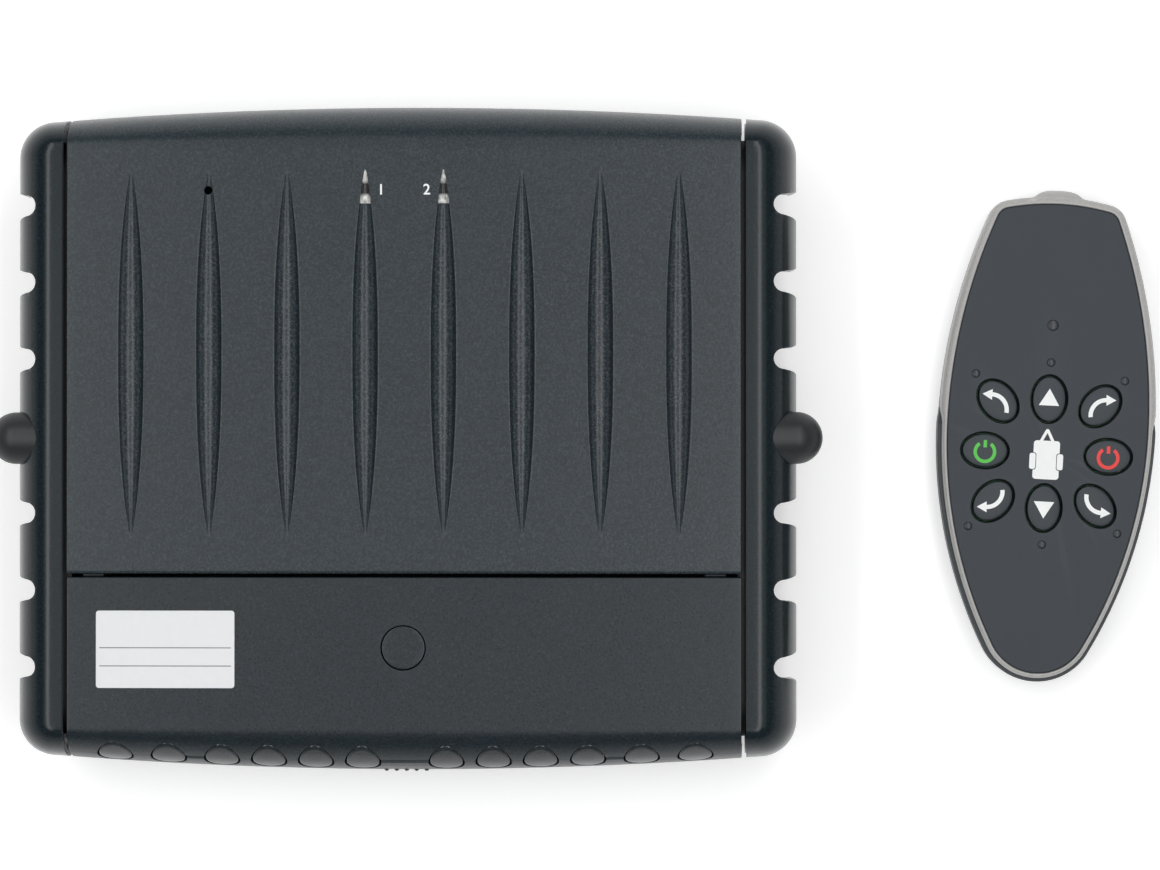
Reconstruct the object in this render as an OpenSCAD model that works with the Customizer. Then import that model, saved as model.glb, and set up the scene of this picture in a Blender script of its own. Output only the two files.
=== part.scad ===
// Control set of a caravan mover: a ribbed control unit and its radio handset, both lying face up.
// The origin is the centre of the control unit's back. X runs across the unit, Y up it, Z out of its face.

/* [Control unit] */
// Width over both end caps
unit_w = 229.2; // [216:0.2:240]
// Height from crown to crown on the centre line
unit_h = 195; // [186:0.2:206]
// Depth from the mounting surface to the flat face
unit_d = 50; // [46:1:58]
// How far the outline falls from the crown to the cap joints
crown_fall = 3.6; // [2:0.1:5]
// Plan width of the rounded edge at the crown
edge_w = 13; // [11:0.5:15]
// Depth of the rounded edge
edge_d = 17.6; // [15:0.2:20]
// Wall of the covers and caps
wall = 2.6; // [2:0.1:3]
// Height of the covers' lower rim above the mounting surface
rim_z = 3.4; // [3.4:0.1:5]
// Seam between main cover and terminal cover, below the centre
seam_drop = 40; // [34:0.5:44]
// Width of the seam
seam_gap = 1.8; // [1.2:0.1:2.4]
// How much lower the terminal cover lies
lid_step = 1; // [0.4:0.1:1.4]

/* [End caps] */
// Width of an end cap
cap_w = 14.8; // [14:0.1:17]
// Gap between a cap and the covers
cap_gap = 1.3; // [0.8:0.1:2]
// Plan width of a cap's rounded side
cap_edge_w = 11.5; // [10:0.1:12.5]
// How far a cap reaches below its widest line
cap_skirt = 2.4; // [1:0.1:12]
// Plan radius of a cap's corners
corner_r = 11; // [8:0.5:13]
// Plan radius of the corners of a cap's flat
flat_corner_r = 1.5; // [0.8:0.1:2]
// Notches on each side of a stud
notch_count = 3; // [2:1:3]
// Spacing of the notches
notch_pitch = 22.5; // [21:0.1:23]
// Width of a notch
notch_w = 6; // [5:0.1:7]
// Width of a notch at its mouth
notch_mouth = 8.4; // [7:0.1:9.6]
// How far the notches sit above the studs' line
notch_shift = 0.6; // [0:0.1:1]
// Depth of a notch
notch_d = 6.7; // [6:0.1:8]
// Radius of a side stud
stud_r = 7.6; // [6.5:0.1:8.4]
// Radius of a stud's shank
shank_r = 2.6; // [2:0.1:3]

/* [Ribs and lamps] */
// Number of ribs
rib_count = 8; // [6:2:8]
// Spacing of the ribs
rib_pitch = 22.77; // [20:0.1:24]
// Length of a rib
rib_l = 104; // [90:1:108]
// Width of a rib at its middle
rib_w = 7.2; // [5:0.1:8]
// Middle of the ribs above the centre
rib_y = 26.7; // [24:0.1:28]
// How deep a rib's axis lies under the face
rib_sink = 0.4; // [0.2:0.1:0.8]
// Length of a light guide's tip
guide_l = 10.5; // [9:0.1:12]
// Diameter of the reset hole
reset_d = 2.5; // [2:0.1:2.8]
// Reset hole above the centre
reset_y = 72.2; // [70:0.1:73]

/* [Cable side] */
// Diameter of a cable plug
plug_d = 9.8; // [9:0.1:11]
// Depth of the plugs' axis under the face
plug_drop = 7.8; // [7.2:0.1:8.4]
// First plug from the centre line
plug_first = 12.25; // [11:0.05:13]
// Spacing of the four inner plugs of a half
plug_pitch = 13.8; // [13.4:0.1:14.2]
// Spacing of the two outer plugs of a half
plug_outer_pitch = 15.7; // [15:0.1:16.4]
// Groove around a plug
plug_groove = 0.35; // [0.3:0.05:0.5]
// Gap of the parting line under the terminal cover
parting_gap = 0.4; // [0.3:0.1:0.8]
// How far the parting line lies above the plugs' centres
parting_rise = 0.6; // [0:0.1:1]
// Number of grip ribs
grip_count = 5; // [3:2:7]
// Spacing of the grip ribs
grip_pitch = 2.95; // [2.6:0.05:3.2]
// Diameter of the blanking plug in the terminal cover
blank_d = 12.8; // [10:0.1:16]
// Blanking plug below the centre
blank_drop = 61.2; // [58:0.1:64]

/* [Tray and board] */
// Floor of the tray
floor_t = 3; // [2.4:0.1:3.2]
// Walls of the tray
tray_wall = 2.4; // [2:0.1:3]
// Radius of a mounting hole
mount_r = 2.6; // [2:0.1:3]
// Spacing of the mounting holes across the unit
mount_w = 208; // [206:0.5:209]
// Spacing of the mounting holes up the unit
mount_h = 156; // [152:1:158]
// Height of the board's underside
board_z = 12; // [10:0.5:14]
// Thickness of the boards
board_t = 1.6; // [1:0.1:2]
// Width of the main board
board_w = 160; // [150:1:164]
// Height of the main board
board_h = 100; // [96:1:102]
// Middle of the main board above the centre
board_y = 26; // [25:0.5:27]

/* [Handset] */
// Keypad centre to the right of the unit's centre
handset_x = 188.4; // [186:0.1:220]
// Keypad centre above the unit's centre
handset_y = -4.5; // [-30:0.1:30]
// Turn of the handset, clockwise from above
handset_turn = 3; // [0:0.5:10]
// Height of the face panel's top
handset_d = 24; // [23:0.5:28]
// Half width of the face panel
panel_half_w = 29.5; // [29:0.1:32]
// Length of the face panel above the keypad centre
panel_top = 73.7; // [72:0.1:78]
// Length of the face panel below the keypad centre
panel_bottom = 64.9; // [62:0.1:68]
// Widest place above the keypad centre
panel_wide_y = 8; // [6:0.5:10]
// Radius of the upper sides
upper_r = 168; // [164:1:180]
// Radius of the lower sides
lower_r = 137; // [132:1:142]
// Radius of the top edge
top_r = 66.7; // [60:0.5:80]
// Radius of the top corners
panel_corner_r = 4; // [3.9:0.1:6]
// Thickness of the face panel
panel_t = 1.8; // [1.4:0.1:2.4]
// Width of the grey frame around the panel
frame_w = 2.3; // [2.1:0.1:3]
// How much narrower the frame is below the step in its sides
frame_inset = 0.8; // [0.2:0.1:1]
// Wall of the frame and the back shell
shell_wall = 2; // [1.6:0.1:2.2]
// Radius of the back's rounded edge
back_r = 6; // [5:0.1:6]
// Lower edge of the frame on the upper half
skirt_z = 7.5; // [7:0.1:9]
// Lower edge of the frame on the lower half
ring_z = 19; // [18:0.1:19.5]

/* [Keys] */
// Short width of a key hole
hole_w = 11.3; // [10.8:0.1:11.8]
// Long width of a key hole
hole_l = 14.8; // [14:0.1:15.4]
// Gap between a key and its hole
key_gap = 0.75; // [0.5:0.05:0.9]
// Travel of a key
key_travel = 1; // [0.6:0.1:1]
// Height of a key's crown above the panel
key_proud = 0.3; // [0:0.05:0.6]
// Forward and back keys from the keypad centre
straight_y = 16.1; // [15.8:0.05:17]
// On and off keys from the keypad centre
power_x = 18.15; // [17.8:0.05:19]
// Corner keys from the centre line
corner_x = 15.06; // [14.8:0.05:15.6]
// Corner keys from the keypad's cross line
corner_y = 14.76; // [14.5:0.05:15.4]
// Turn of the corner keys from upright
corner_turn = 43; // [38:1:48]
// Radius of the status lamp
lamp_r = 1.6; // [1:0.1:2]
// Radius of a small key lamp
small_lamp_r = 1.2; // [0.8:0.1:1.4]

/* [Battery] */
// Diameter of a cell
cell_d = 10.5; // [10:0.1:11]
// Length of a cell without its button
cell_l = 43.5; // [42:0.5:44.5]
// Thickness of the battery door
door_t = 1.8; // [1.4:0.1:2]
// Width of the battery door
door_w = 37; // [36.4:0.2:39]

/* [Hidden] */
$fn = 48;

// Clearances and small sizes shared by several pieces
eps = 0.01;
fit = 0.15;
run_fit = 0.1;
air = 0.3;
// Overshoot of a cut, and how far joined forms of one piece reach into each other
cut = 1;
root = 0.5;
edge_steps = 8;
crown_steps = 16;
corner_steps = 8;

// Control unit: derived places
half_w = unit_w / 2;
half_h = unit_h / 2;
flat_y = half_h - edge_w;
widest_z = unit_d - edge_d;
cap_in = half_w - cap_w;
body_x = cap_in - cap_gap;
crown_r = (body_x * body_x + crown_fall * crown_fall) / (2 * crown_fall);
seam_top = -seam_drop + seam_gap / 2;
seam_low = -seam_drop - seam_gap / 2;
lid_top = unit_d - lid_step;
lid_under = lid_top - wall;
cover_under = unit_d - wall;
flat_x = half_w - cap_edge_w;
notch_in = half_w - notch_d;
plug_z = unit_d - plug_drop;
parting_z = plug_z + parting_rise;
plug_hole_r = plug_d / 2 + plug_groove;
plug_depth = edge_w - 2.4;
board_top = board_z + board_t;
chamber_back = seam_low + 5;

// Stud: its top line meets the rounded side where the notches end
stud_z = widest_z + edge_d * sqrt(1 - pow((notch_in - flat_x) / cap_edge_w, 2)) - stud_r;
stud_seat = flat_x + 0.6;
stud_tail = body_x - 8;

// Tray: side walls stand under the cap joints, below the lower of the two covers
side_wall_x = body_x - 1.1;
side_wall_t = 2 * tray_wall - 0.8;
side_wall_top = lid_under - 0.5;
side_wall_y = half_h - crown_fall - 6.6;
tray_edge = notch_in - 0.8;
ear_h = 10.8;
boss_z = board_z;
post_r = 4;
post_x = side_wall_x - post_r - 4.6;
post_ys = [68, -22];
screw_r = 1.5;
head_r = 3;
head_h = 2;
board_post_r = 3.5;
board_margin = 6;
// The board's posts keep clear of the cover's posts
board_post_x = min(board_w / 2 - board_margin, post_x - post_r - board_post_r - 2 * cut);
board_post_xs = [-board_post_x, 0, board_post_x];
board_post_ys = [board_y + board_h / 2 - board_margin, board_y - board_h / 2 + board_margin];
foot_w = 9;
foot_t = 2;
foot_screw_xs = [-70, 0, 70];
rear_wall_h = 23;
side_wall_r = 10;
socket_wall = 1.8;
tray_gap = 1.2;
pad_h = 3;
pad_w = 4;
head_seat = 4;
pilot_r = screw_r - 0.2;
thread_r = screw_r - 0.25;

// Hooks of the terminal cover
hook_x = 90.9;
hook_w = 6;
hook_t = 2;
hook_reach = 4.6;
hook_root = 4;
// Round bead in the seam that the terminal cover tilts on
pivot_r = seam_gap / 2 - run_fit;
pivot_z = cover_under + pivot_r;

// Handset: derived places
lower_c = panel_half_w - lower_r;
upper_c = panel_half_w - upper_r;
end_drop = panel_wide_y + panel_bottom;
end_r = (lower_r * lower_r - lower_c * lower_c - end_drop * end_drop) / (2 * (lower_r - end_drop));
top_c = panel_top - top_r;
panel_under = handset_d - panel_t;
seam_v = [6, 20];
step_v = [7.5, 13];
shell_out = 0.4;
shell_rim_gap = 0.2;
hs_board_z = 15;
hs_board_top = hs_board_z + board_t;
mat_t = 1.2;
key_crown_r = 40;
dome_h = 0.4;
dome_r = 3.2;
buzzer_r = 6;
buzzer_h = 4.5;
buzzer_y = 48;
key_foot = hs_board_top + dome_h + key_travel + 0.2;
hs_floor = 3.2;
door_tongue = 1;
tongue_t = 0.9;
hs_post_r = 3;
hs_hole_r = 1.25;
hs_thread_r = 0.9;
hs_head_r = 2;
hs_head_h = 1.6;
hs_head_z = hs_floor + 2.6;
hs_bite = 4;
board_inset = 2.6;
bay_wall = 1.6;
cell_button_r = 1.9;
cell_button_h = 1;
contact_t = 0.4;
contact_w = 8;
mat_margin = 1.4;
hs_screws = [[-12.5, 58], [12.5, 58], [-8, -52], [8, -52]];
bead_flat = 0.6;
bead_h = 2.6;
bead_steps = 5;
ledge_w = 1.3;
ledge_t = 1.2;
nose_w = 12;
nose_out = 1.9;
nose_r = (nose_w * nose_w / 4 + nose_out * nose_out) / (2 * nose_out);
cell_pitch = cell_d + 0.4;
cell_mid = -13;
bay_half_l = cell_l / 2 + 3.4;
bay_half_w = 1.5 * cell_pitch + 0.6;
cell_z = hs_floor + cell_d / 2 + run_fit;
door_top = cell_mid + bay_half_l + 3;

// Outline half height of the unit at a place across it
function crown(x) = half_h - crown_r + sqrt(crown_r * crown_r - x * x);
function rib_x(i) = (i - (rib_count - 1) / 2) * rib_pitch;
function rib_r(s) = sqrt(rib_w * rib_w / 4 + rib_sink * rib_sink) * (1 - pow(s, 4));
function plug_offset(i) = plug_first + min(i, 3) * plug_pitch + max(i - 3, 0) * plug_outer_pitch;
function angle_at(z, rise) = asin((z - widest_z) / rise);
function blend(s) = s * s * (3 - 2 * s);
function clamp(s) = min(1, max(0, s));

led_ribs = [rib_count / 2 - 1, rib_count / 2];
reset_rib = 1;
guide_y = rib_y + rib_l / 2 - guide_l;
led_y = guide_y + guide_l / 2;
plug_xs = [for (side = [-1, 1], i = [0:5]) side * plug_offset(i)];

// Closed skin over stacked rings of points, the first ring lowest and each counterclockwise from above
module loft(rings) {
    m = len(rings[0]);
    n = len(rings);
    sides = [for (k = [0:n - 2], i = [0:m - 1])
        let (j = (i + 1) % m, a = k * m + i, b = k * m + j)
        each [[a, a + m, b + m], [a, b + m, b]]];
    polyhedron([for (r = rings) each r],
        concat([[for (i = [0:m - 1]) i]], sides, [[for (i = [m - 1:-1:0]) (n - 1) * m + i]]));
}

// Bent sheet from sections along X, each a list of outer points and a list of inner points in Y and Z
module bent_sheet(xs, outers, inners) {
    p = len(outers[0]);
    m = 2 * p;
    n = len(xs);
    points = [for (k = [0:n - 1]) each concat(
        [for (q = outers[k]) [xs[k], q[0], q[1]]],
        [for (i = [p - 1:-1:0]) [xs[k], inners[k][i][0], inners[k][i][1]]])];
    sides = [for (k = [0:n - 2], i = [0:m - 1])
        let (j = (i + 1) % m, a = k * m + i, b = k * m + j)
        each [[a, b, b + m], [a, b + m, a + m]]];
    ends = [for (i = [0:p - 2])
        let (o = m - 1 - i, e = (n - 1) * m)
        each [[i, o, i + 1], [i + 1, o, o - 1], [e + i, e + i + 1, e + o], [e + i + 1, e + o - 1, e + o]]];
    polyhedron(points, concat(sides, ends));
}

cover_xs = [for (i = [0:crown_steps]) -body_x + 2 * body_x * i / crown_steps];

// Points along the rounded edge at x, from one angle to another, for a rise and an inset
function edge_points(x, rise, t, from, to, side) =
    [for (i = [0:edge_steps])
        let (a = from + (to - from) * i / edge_steps)
        [side * (flat_y + (crown(x) - flat_y - t) * cos(a)), widest_z + (rise - t) * sin(a)]];

// Rib: a spindle turned about Y, kept from half way into the cover upwards
module spindle() {
    steps = 20;
    rotate([-90, 0, 0]) rotate_extrude()
        polygon([for (i = [0:steps])
            let (s = -1 + 2 * i / steps)
            [rib_r(s), s * rib_l / 2]]);
}

module rib(from, to, bottom) {
    intersection() {
        translate([0, rib_y, unit_d - rib_sink]) spindle();
        translate([-rib_w, from, bottom]) cube([2 * rib_w, to - from, unit_d + rib_w - bottom]);
    }
}

module cover_posts() {
    for (side = [-1, 1], y = post_ys) translate([side * post_x, y, 0]) children();
}

module main_cover() color("#42474a") difference() {
    union() {
        bent_sheet(cover_xs,
            [for (x = cover_xs) concat([[seam_top, unit_d]], edge_points(x, edge_d, 0, 90, 0, 1),
                [[crown(x), rim_z]])],
            [for (x = cover_xs) concat([[seam_top, cover_under]], edge_points(x, edge_d, wall, 90, 0, 1),
                [[crown(x) - wall, rim_z]])]);
        for (i = [0:rib_count - 1]) translate([rib_x(i), 0, 0])
            rib(rib_y - rib_l, len(search(i, led_ribs)) > 0 ? guide_y : rib_y + rib_l, unit_d - wall / 2);
        cover_posts() translate([0, 0, boss_z]) cylinder(r = post_r, h = unit_d - wall / 2 - boss_z);
        translate([rib_x(reset_rib), reset_y, reset_sleeve_z])
            cylinder(r = reset_pin_r + socket_wall, h = unit_d - wall / 2 - reset_sleeve_z);
    }
    cover_posts() translate([0, 0, boss_z - cut]) cylinder(r = pilot_r, h = post_pilot + cut);
    translate([rib_x(reset_rib), reset_y, 0]) {
        cylinder(d = reset_d, h = unit_d + rib_w);
        translate([0, 0, reset_sleeve_z - cut])
            cylinder(r = reset_pin_r + run_fit, h = cover_under - reset_sleeve_z + cut);
    }
    for (i = led_ribs) translate([rib_x(i), led_y, 0])
        cube([guide_stem_w + 2 * fit, guide_stem_l + 2 * fit, 3 * unit_d], center = true);
}

// Light guide: clear rib tip on a stem that reaches down to its lamp
guide_stem_w = 2.4;
guide_stem_l = 6;
led_r = 2.4;
led_h = 7;
guide_foot = board_top + led_h + air;
module light_guide(i) color("#e8eef0") union() {
    translate([rib_x(i), 0, 0]) rib(guide_y + run_fit / 2, rib_y + rib_l, unit_d);
    translate([rib_x(i) - guide_stem_w / 2, led_y - guide_stem_l / 2, guide_foot])
        cube([guide_stem_w, guide_stem_l, unit_d + root - guide_foot]);
}
module light_guide_1() light_guide(led_ribs[0]);
module light_guide_2() light_guide(led_ribs[1]);

// Reset: a pin in a sleeve under the reset hole, over a small switch
reset_pin_r = 1.5;
reset_switch_h = 4;
reset_switch_w = 6;
reset_travel = 0.8;
reset_sleeve_z = board_top + 16;
reset_pin_foot = board_top + reset_switch_h + reset_travel + air / 2;
post_pilot = 14;
module reset_button() color("#1c1e20") translate([rib_x(reset_rib), reset_y, reset_pin_foot])
    cylinder(r = reset_pin_r, h = cover_under - reset_pin_foot - air);

module reset_switch() color("#202224") translate([rib_x(reset_rib), reset_y, board_top]) {
    translate([-reset_switch_w / 2, -reset_switch_w / 2, 0])
        cube([reset_switch_w, reset_switch_w, reset_switch_h - root]);
    cylinder(r = reset_pin_r + fit, h = reset_switch_h);
}

// Terminal cover: lower flat, rounded edge down to the parting line, two hooks under the main cover
module terminal_cover() color("#3f4346") difference() {
    lid_rise = edge_d - lid_step;
    lid_low = parting_z + parting_gap / 2;
    union() {
        bent_sheet(cover_xs,
            [for (x = cover_xs) concat(edge_points(x, lid_rise, 0, angle_at(lid_low, lid_rise), 90, -1),
                [[seam_low, lid_top]])],
            [for (x = cover_xs) concat(
                edge_points(x, lid_rise, wall, angle_at(lid_low, lid_rise - wall), 90, -1),
                [[seam_low, lid_under]])]);
        for (side = [-1, 1])
            translate([side * hook_x - hook_w / 2, seam_low - hook_root, cover_under - air - hook_t])
                cube([hook_w, hook_root + seam_gap + hook_reach, hook_t]);
        for (side = [-1, 1]) translate([side * hook_x - hook_w / 2, -seam_drop, 0]) {
            translate([0, -pivot_r, cover_under - air - root])
                cube([hook_w, 2 * pivot_r, pivot_z - cover_under + air + root]);
            translate([0, 0, pivot_z]) rotate([0, 90, 0]) cylinder(r = pivot_r, h = hook_w);
        }
    }
    for (x = plug_xs) plug_bore(x, plug_hole_r, plug_depth + plug_groove);
    translate([0, -blank_drop, lid_under - cut])
        cylinder(d = blank_d + 2 * plug_groove, h = wall + 2 * cut);
}

module blanking_plug() color("#3a3e41") translate([0, -blank_drop, lid_under - blank_flange]) {
    cylinder(d = blank_d, h = wall + blank_flange - fit);
    cylinder(d = blank_d + 2 * blank_flange, h = blank_flange - fit);
}
blank_flange = 1.5;

// Cylinder along Y at a cable entry, from outside the wall to a depth behind the crown
module plug_bore(x, r, depth) {
    translate([x, -half_h - cut, plug_z]) rotate([-90, 0, 0]) cylinder(r = r, h = depth + cut);
}

// Lower part of the rounded bottom edge, on a foot that is screwed to the tray's floor
module cable_entry_wall() color("#3b3f42") difference() {
    lid_rise = edge_d - lid_step;
    top = parting_z - parting_gap / 2;
    union() {
        bent_sheet(cover_xs,
            [for (x = cover_xs) concat([[-crown(x), rim_z]],
                edge_points(x, lid_rise, 0, 0, angle_at(top, lid_rise), -1))],
            [for (x = cover_xs) concat([[-crown(x) + wall, rim_z]],
                edge_points(x, lid_rise, wall, 0, angle_at(top, lid_rise - wall), -1))]);
        translate([-foot_half_w, -half_h + crown_fall + wall / 2, floor_t]) {
            cube([2 * foot_half_w, foot_w, foot_t]);
            cube([2 * foot_half_w, wall, widest_z - floor_t]);
        }
        translate([-(grip_count - 1) / 2 * grip_pitch, -half_h + grip_r / 2, widest_z - 2 * grip_h / 3])
            for (i = [0:grip_count - 1]) translate([i * grip_pitch, 0, 0]) cylinder(r = grip_r, h = grip_h);
    }
    for (x = plug_xs) plug_bore(x, plug_hole_r, plug_depth + plug_groove);
    for (x = foot_screw_xs) translate([x, foot_screw_y, 0]) cylinder(r = screw_r + fit, h = widest_z / 2);
}
grip_r = 0.7;
grip_h = 9;
foot_half_w = side_wall_x - 6;
foot_screw_y = -half_h + crown_fall + wall / 2 + foot_w - head_r - root;

// Blanking plugs: flush with the rounded edge, set in the parting line
plug_face_end = 89;
module cable_plugs() color("#2b2e30") intersection() {
    lid_rise = edge_d - lid_step;
    bent_sheet(cover_xs,
        [for (x = cover_xs) edge_points(x, lid_rise, 0, 0, plug_face_end, -1)],
        [for (x = cover_xs) [for (q = edge_points(x, lid_rise, 0, 0, plug_face_end, -1))
            [-half_h + plug_depth, q[1]]]]);
    union() for (x = plug_xs) plug_bore(x, plug_d / 2, plug_depth + cut);
}

// End cap: shell of revolved-looking levels, from the rim up over the rounded side to the flat
function cap_side(a, t) = flat_x + (cap_edge_w - t) * cos(a);
function cap_corner(a, t) = flat_corner_r + (corner_r - t - flat_corner_r) * cos(a);
function cap_end(a, x, t) = flat_y + (crown(x) - flat_y - t) * cos(a);
function cap_ring(a, t, z) =
    let (r = cap_corner(a, t), cx = cap_side(a, t) - r, cy = cap_end(a, cx, t) - r)
    concat([[cap_in, -cap_end(a, cap_in, t), z]],
        [for (i = [0:corner_steps])
            let (b = -90 + 90 * i / corner_steps)
            [cx + r * cos(b), -cy + r * sin(b), z]],
        [for (i = [0:corner_steps])
            let (b = 90 * i / corner_steps)
            [cx + r * cos(b), cy + r * sin(b), z]],
        [[cap_in, cap_end(a, cap_in, t), z]]);
function cap_levels(t) = concat([cap_ring(0, t, widest_z - cap_skirt)],
    [for (i = [0:edge_steps])
        let (a = 90 * i / edge_steps)
        cap_ring(a, t, widest_z + (edge_d - t) * sin(a))]);

module cap_shell() {
    outer = cap_levels(0);
    inner = cap_levels(wall);
    m = len(outer[0]);
    n = len(outer);
    s = m * n;
    top = (n - 1) * m;
    skins = [for (k = [0:n - 2], i = [0:m - 2])
        let (a = k * m + i, b = a + 1)
        each [[a, a + m, b + m], [a, b + m, b], [s + a, s + b + m, s + a + m], [s + a, s + b, s + b + m]]];
    rim = [for (i = [0:m - 2]) each [[i, i + 1, s + i + 1], [i, s + i + 1, s + i]]];
    lips = [for (k = [0:n - 2])
        let (a = k * m, b = a + m - 1)
        each [[a, s + a, s + a + m], [a, s + a + m, a + m], [b, s + b + m, s + b], [b, b + m, s + b + m]]];
    lids = [[for (i = [m - 1:-1:0]) top + i], [for (i = [0:m - 1]) s + top + i]];
    bridge = [[top, s + top, s + top + m - 1], [top, s + top + m - 1, top + m - 1]];
    polyhedron([for (r = concat(outer, inner)) each r], concat(skins, rim, lips, lids, bridge));
}

module notch() {
    end = notch_in + notch_w / 2;
    mouth = half_w + cut;
    a = notch_w / 2;
    b = notch_mouth / 2;
    translate([0, 0, -cut]) linear_extrude(unit_d + 2 * cut) {
        translate([end, 0]) circle(r = a);
        polygon([[end, -a], [mouth, -b], [mouth, b], [end, a]]);
    }
}

// Webs that close a cap's two ends towards the covers
module cap_webs() {
    inset = wall / 2;
    stop = acos((web_y - flat_y) / (cap_end(0, cap_in, inset) - flat_y));
    rise = [for (i = [0:edge_steps])
        let (a = stop * i / edge_steps)
        [cap_end(a, cap_in, inset), widest_z + (edge_d - inset) * sin(a)]];
    for (side = [0, 1]) mirror([0, side, 0]) translate([cap_in, 0, 0]) rotate([90, 0, 90]) linear_extrude(web_t)
        polygon(concat([[web_y, widest_z - cap_skirt], [cap_end(0, cap_in, inset), widest_z - cap_skirt]], rise));
}
web_t = 1.4;
web_y = side_wall_y + 1;

module right_cap_form() color("#3f4346") difference() {
    union() {
        cap_shell();
        cap_webs();
    }
    for (side = [-1, 1], i = [1:notch_count])
        translate([0, notch_shift + side * i * notch_pitch, 0]) notch();
    translate([stud_seat - fit, 0, stud_z]) rotate([0, 90, 0]) cylinder(r = stud_r + fit, h = unit_w);
}
module right_end_cap() right_cap_form();
module left_end_cap() mirror([1, 0, 0]) right_cap_form();

// Side stud: domed pull whose shank plugs into the tray's side wall
module right_stud_form() color("#3c3b3e") translate([0, 0, stud_z]) rotate([0, 90, 0]) {
    translate([0, 0, stud_seat]) cylinder(r = stud_r, h = half_w - stud_seat);
    translate([0, 0, half_w]) sphere(r = stud_r);
    translate([0, 0, stud_tail]) cylinder(r = shank_r, h = half_w - stud_tail);
}
module right_side_stud() right_stud_form();
module left_side_stud() mirror([1, 0, 0]) right_stud_form();

// Tray: floor with mounting ears, side walls with stud sockets, rear wall, partition and bosses
module crown_plan(inset) {
    intersection() {
        translate([0, half_h - crown_r]) circle(r = crown_r - inset);
        translate([0, crown_r - half_h]) circle(r = crown_r - inset);
        children();
    }
}

module tray_plan() {
    crown_plan(wall + tray_gap) square([2 * side_wall_x, unit_h], center = true);
    square([2 * tray_edge, 2 * (side_wall_y - floor_t)], center = true);
    for (side = [-1, 1]) on_side(side) for (y = [-1, 1]) translate([mount_w / 2, y * mount_h / 2]) {
        circle(d = ear_h);
        translate([-ear_h / 2, 0]) square(ear_h, center = true);
    }
}

module side_wall() {
    y = side_wall_y - side_wall_r;
    z = side_wall_top - side_wall_r;
    translate([side_wall_x, 0, 0]) rotate([90, 0, 90]) linear_extrude(side_wall_t) {
        translate([-side_wall_y, floor_t - root]) square([2 * side_wall_y, z - floor_t + root]);
        translate([-y, floor_t]) square([2 * y, side_wall_top - floor_t]);
        for (side = [-1, 1]) translate([side * y, z]) circle(r = side_wall_r);
    }
    translate([stud_tail - socket_wall, 0, stud_z]) rotate([0, 90, 0])
        cylinder(r = shank_r + socket_wall, h = side_wall_x - stud_tail + socket_wall + root);
}

module tray_posts() {
    for (x = board_post_xs, y = board_post_ys) translate([x, y, 0]) children();
}

module mount_places() {
    for (x = [-1, 1], y = [-1, 1]) translate([x * mount_w / 2, y * mount_h / 2, 0]) children();
}

// Mirrored to the left for side -1
module on_side(side) {
    mirror([side < 0 ? 1 : 0, 0, 0]) children();
}

module base_tray() color("#2e3133") difference() {
    inner_w = 2 * side_wall_x + 2 * root;
    union() {
        linear_extrude(floor_t) tray_plan();
        for (side = [-1, 1]) on_side(side) side_wall();
        translate([0, 0, floor_t - root]) {
            linear_extrude(rear_wall_h) difference() {
                crown_plan(wall + tray_gap) translate([-inner_w / 2, 0]) square([inner_w, unit_h]);
                crown_plan(wall + tray_gap + tray_wall) square(unit_w, center = true);
            }
            translate([-inner_w / 2, chamber_back, 0]) cube([inner_w, tray_wall, rear_wall_h]);
            for (y = [-block_d / 2, block_d / 2 - pad_w]) translate([block_x - block_w / 2, block_y + y, 0])
                cube([block_w, pad_w, pad_h + root]);
            translate([fuse_x - fuse_w / 2, block_y - pad_w, 0]) cube([fuse_w, 2 * pad_w, pad_h + root]);
        }
        cover_posts() cylinder(r = post_r + cut, h = boss_z);
        tray_posts() cylinder(r = board_post_r, h = board_z);
    }
    mount_places() translate([0, 0, -cut]) cylinder(r = mount_r, h = floor_t + 2 * cut);
    cover_posts() translate([0, 0, -cut]) {
        cylinder(r = screw_r + fit, h = boss_z + 2 * cut);
        cylinder(r = head_r + air, h = head_seat + cut);
    }
    tray_posts() translate([0, 0, floor_t]) cylinder(r = pilot_r, h = board_z);
    for (x = foot_screw_xs) translate([x, foot_screw_y, floor_t / 4]) cylinder(r = pilot_r, h = floor_t);
    for (side = [-1, 1]) on_side(side) translate([stud_tail - air, 0, stud_z]) rotate([0, 90, 0])
        cylinder(r = shank_r + run_fit, h = cap_in - stud_tail + cap_w);
}

module pan_screw(shank) {
    cylinder(r = thread_r, h = shank);
    translate([0, 0, shank]) cylinder(r1 = 2 * thread_r, r2 = 1.6 * thread_r, h = head_h);
}

module cover_screws() color("#b8bcc0") cover_posts() translate([0, 0, head_seat - head_h]) {
    cylinder(r = head_r, h = head_h);
    cylinder(r = thread_r, h = boss_z - head_seat + head_h + 0.7 * post_pilot);
}

module entry_wall_screws() color("#b8bcc0") for (x = foot_screw_xs)
    translate([x, foot_screw_y, floor_t / 2]) pan_screw(floor_t / 2 + foot_t);

// Main board: every piece on it is placed from the board's edges
board_high = board_y + board_h / 2;
board_low = board_y - board_h / 2;
board_right = board_w / 2;

module on_board(x, y) {
    translate([x, y, board_top]) children();
}

module main_board() color("#2f6b45") difference() {
    translate([-board_w / 2, board_low, board_z]) cube([board_w, board_h, board_t]);
    translate([0, 0, board_z - cut]) {
        tray_posts() cylinder(r = screw_r + fit, h = board_t + 2 * cut);
        cover_posts() cylinder(r = post_r + cut + air, h = board_t + 2 * cut);
    }
}

module board_screws() color("#b8bcc0") tray_posts() translate([0, 0, floor_t + pad_h])
    pan_screw(board_top - floor_t - pad_h);

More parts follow.
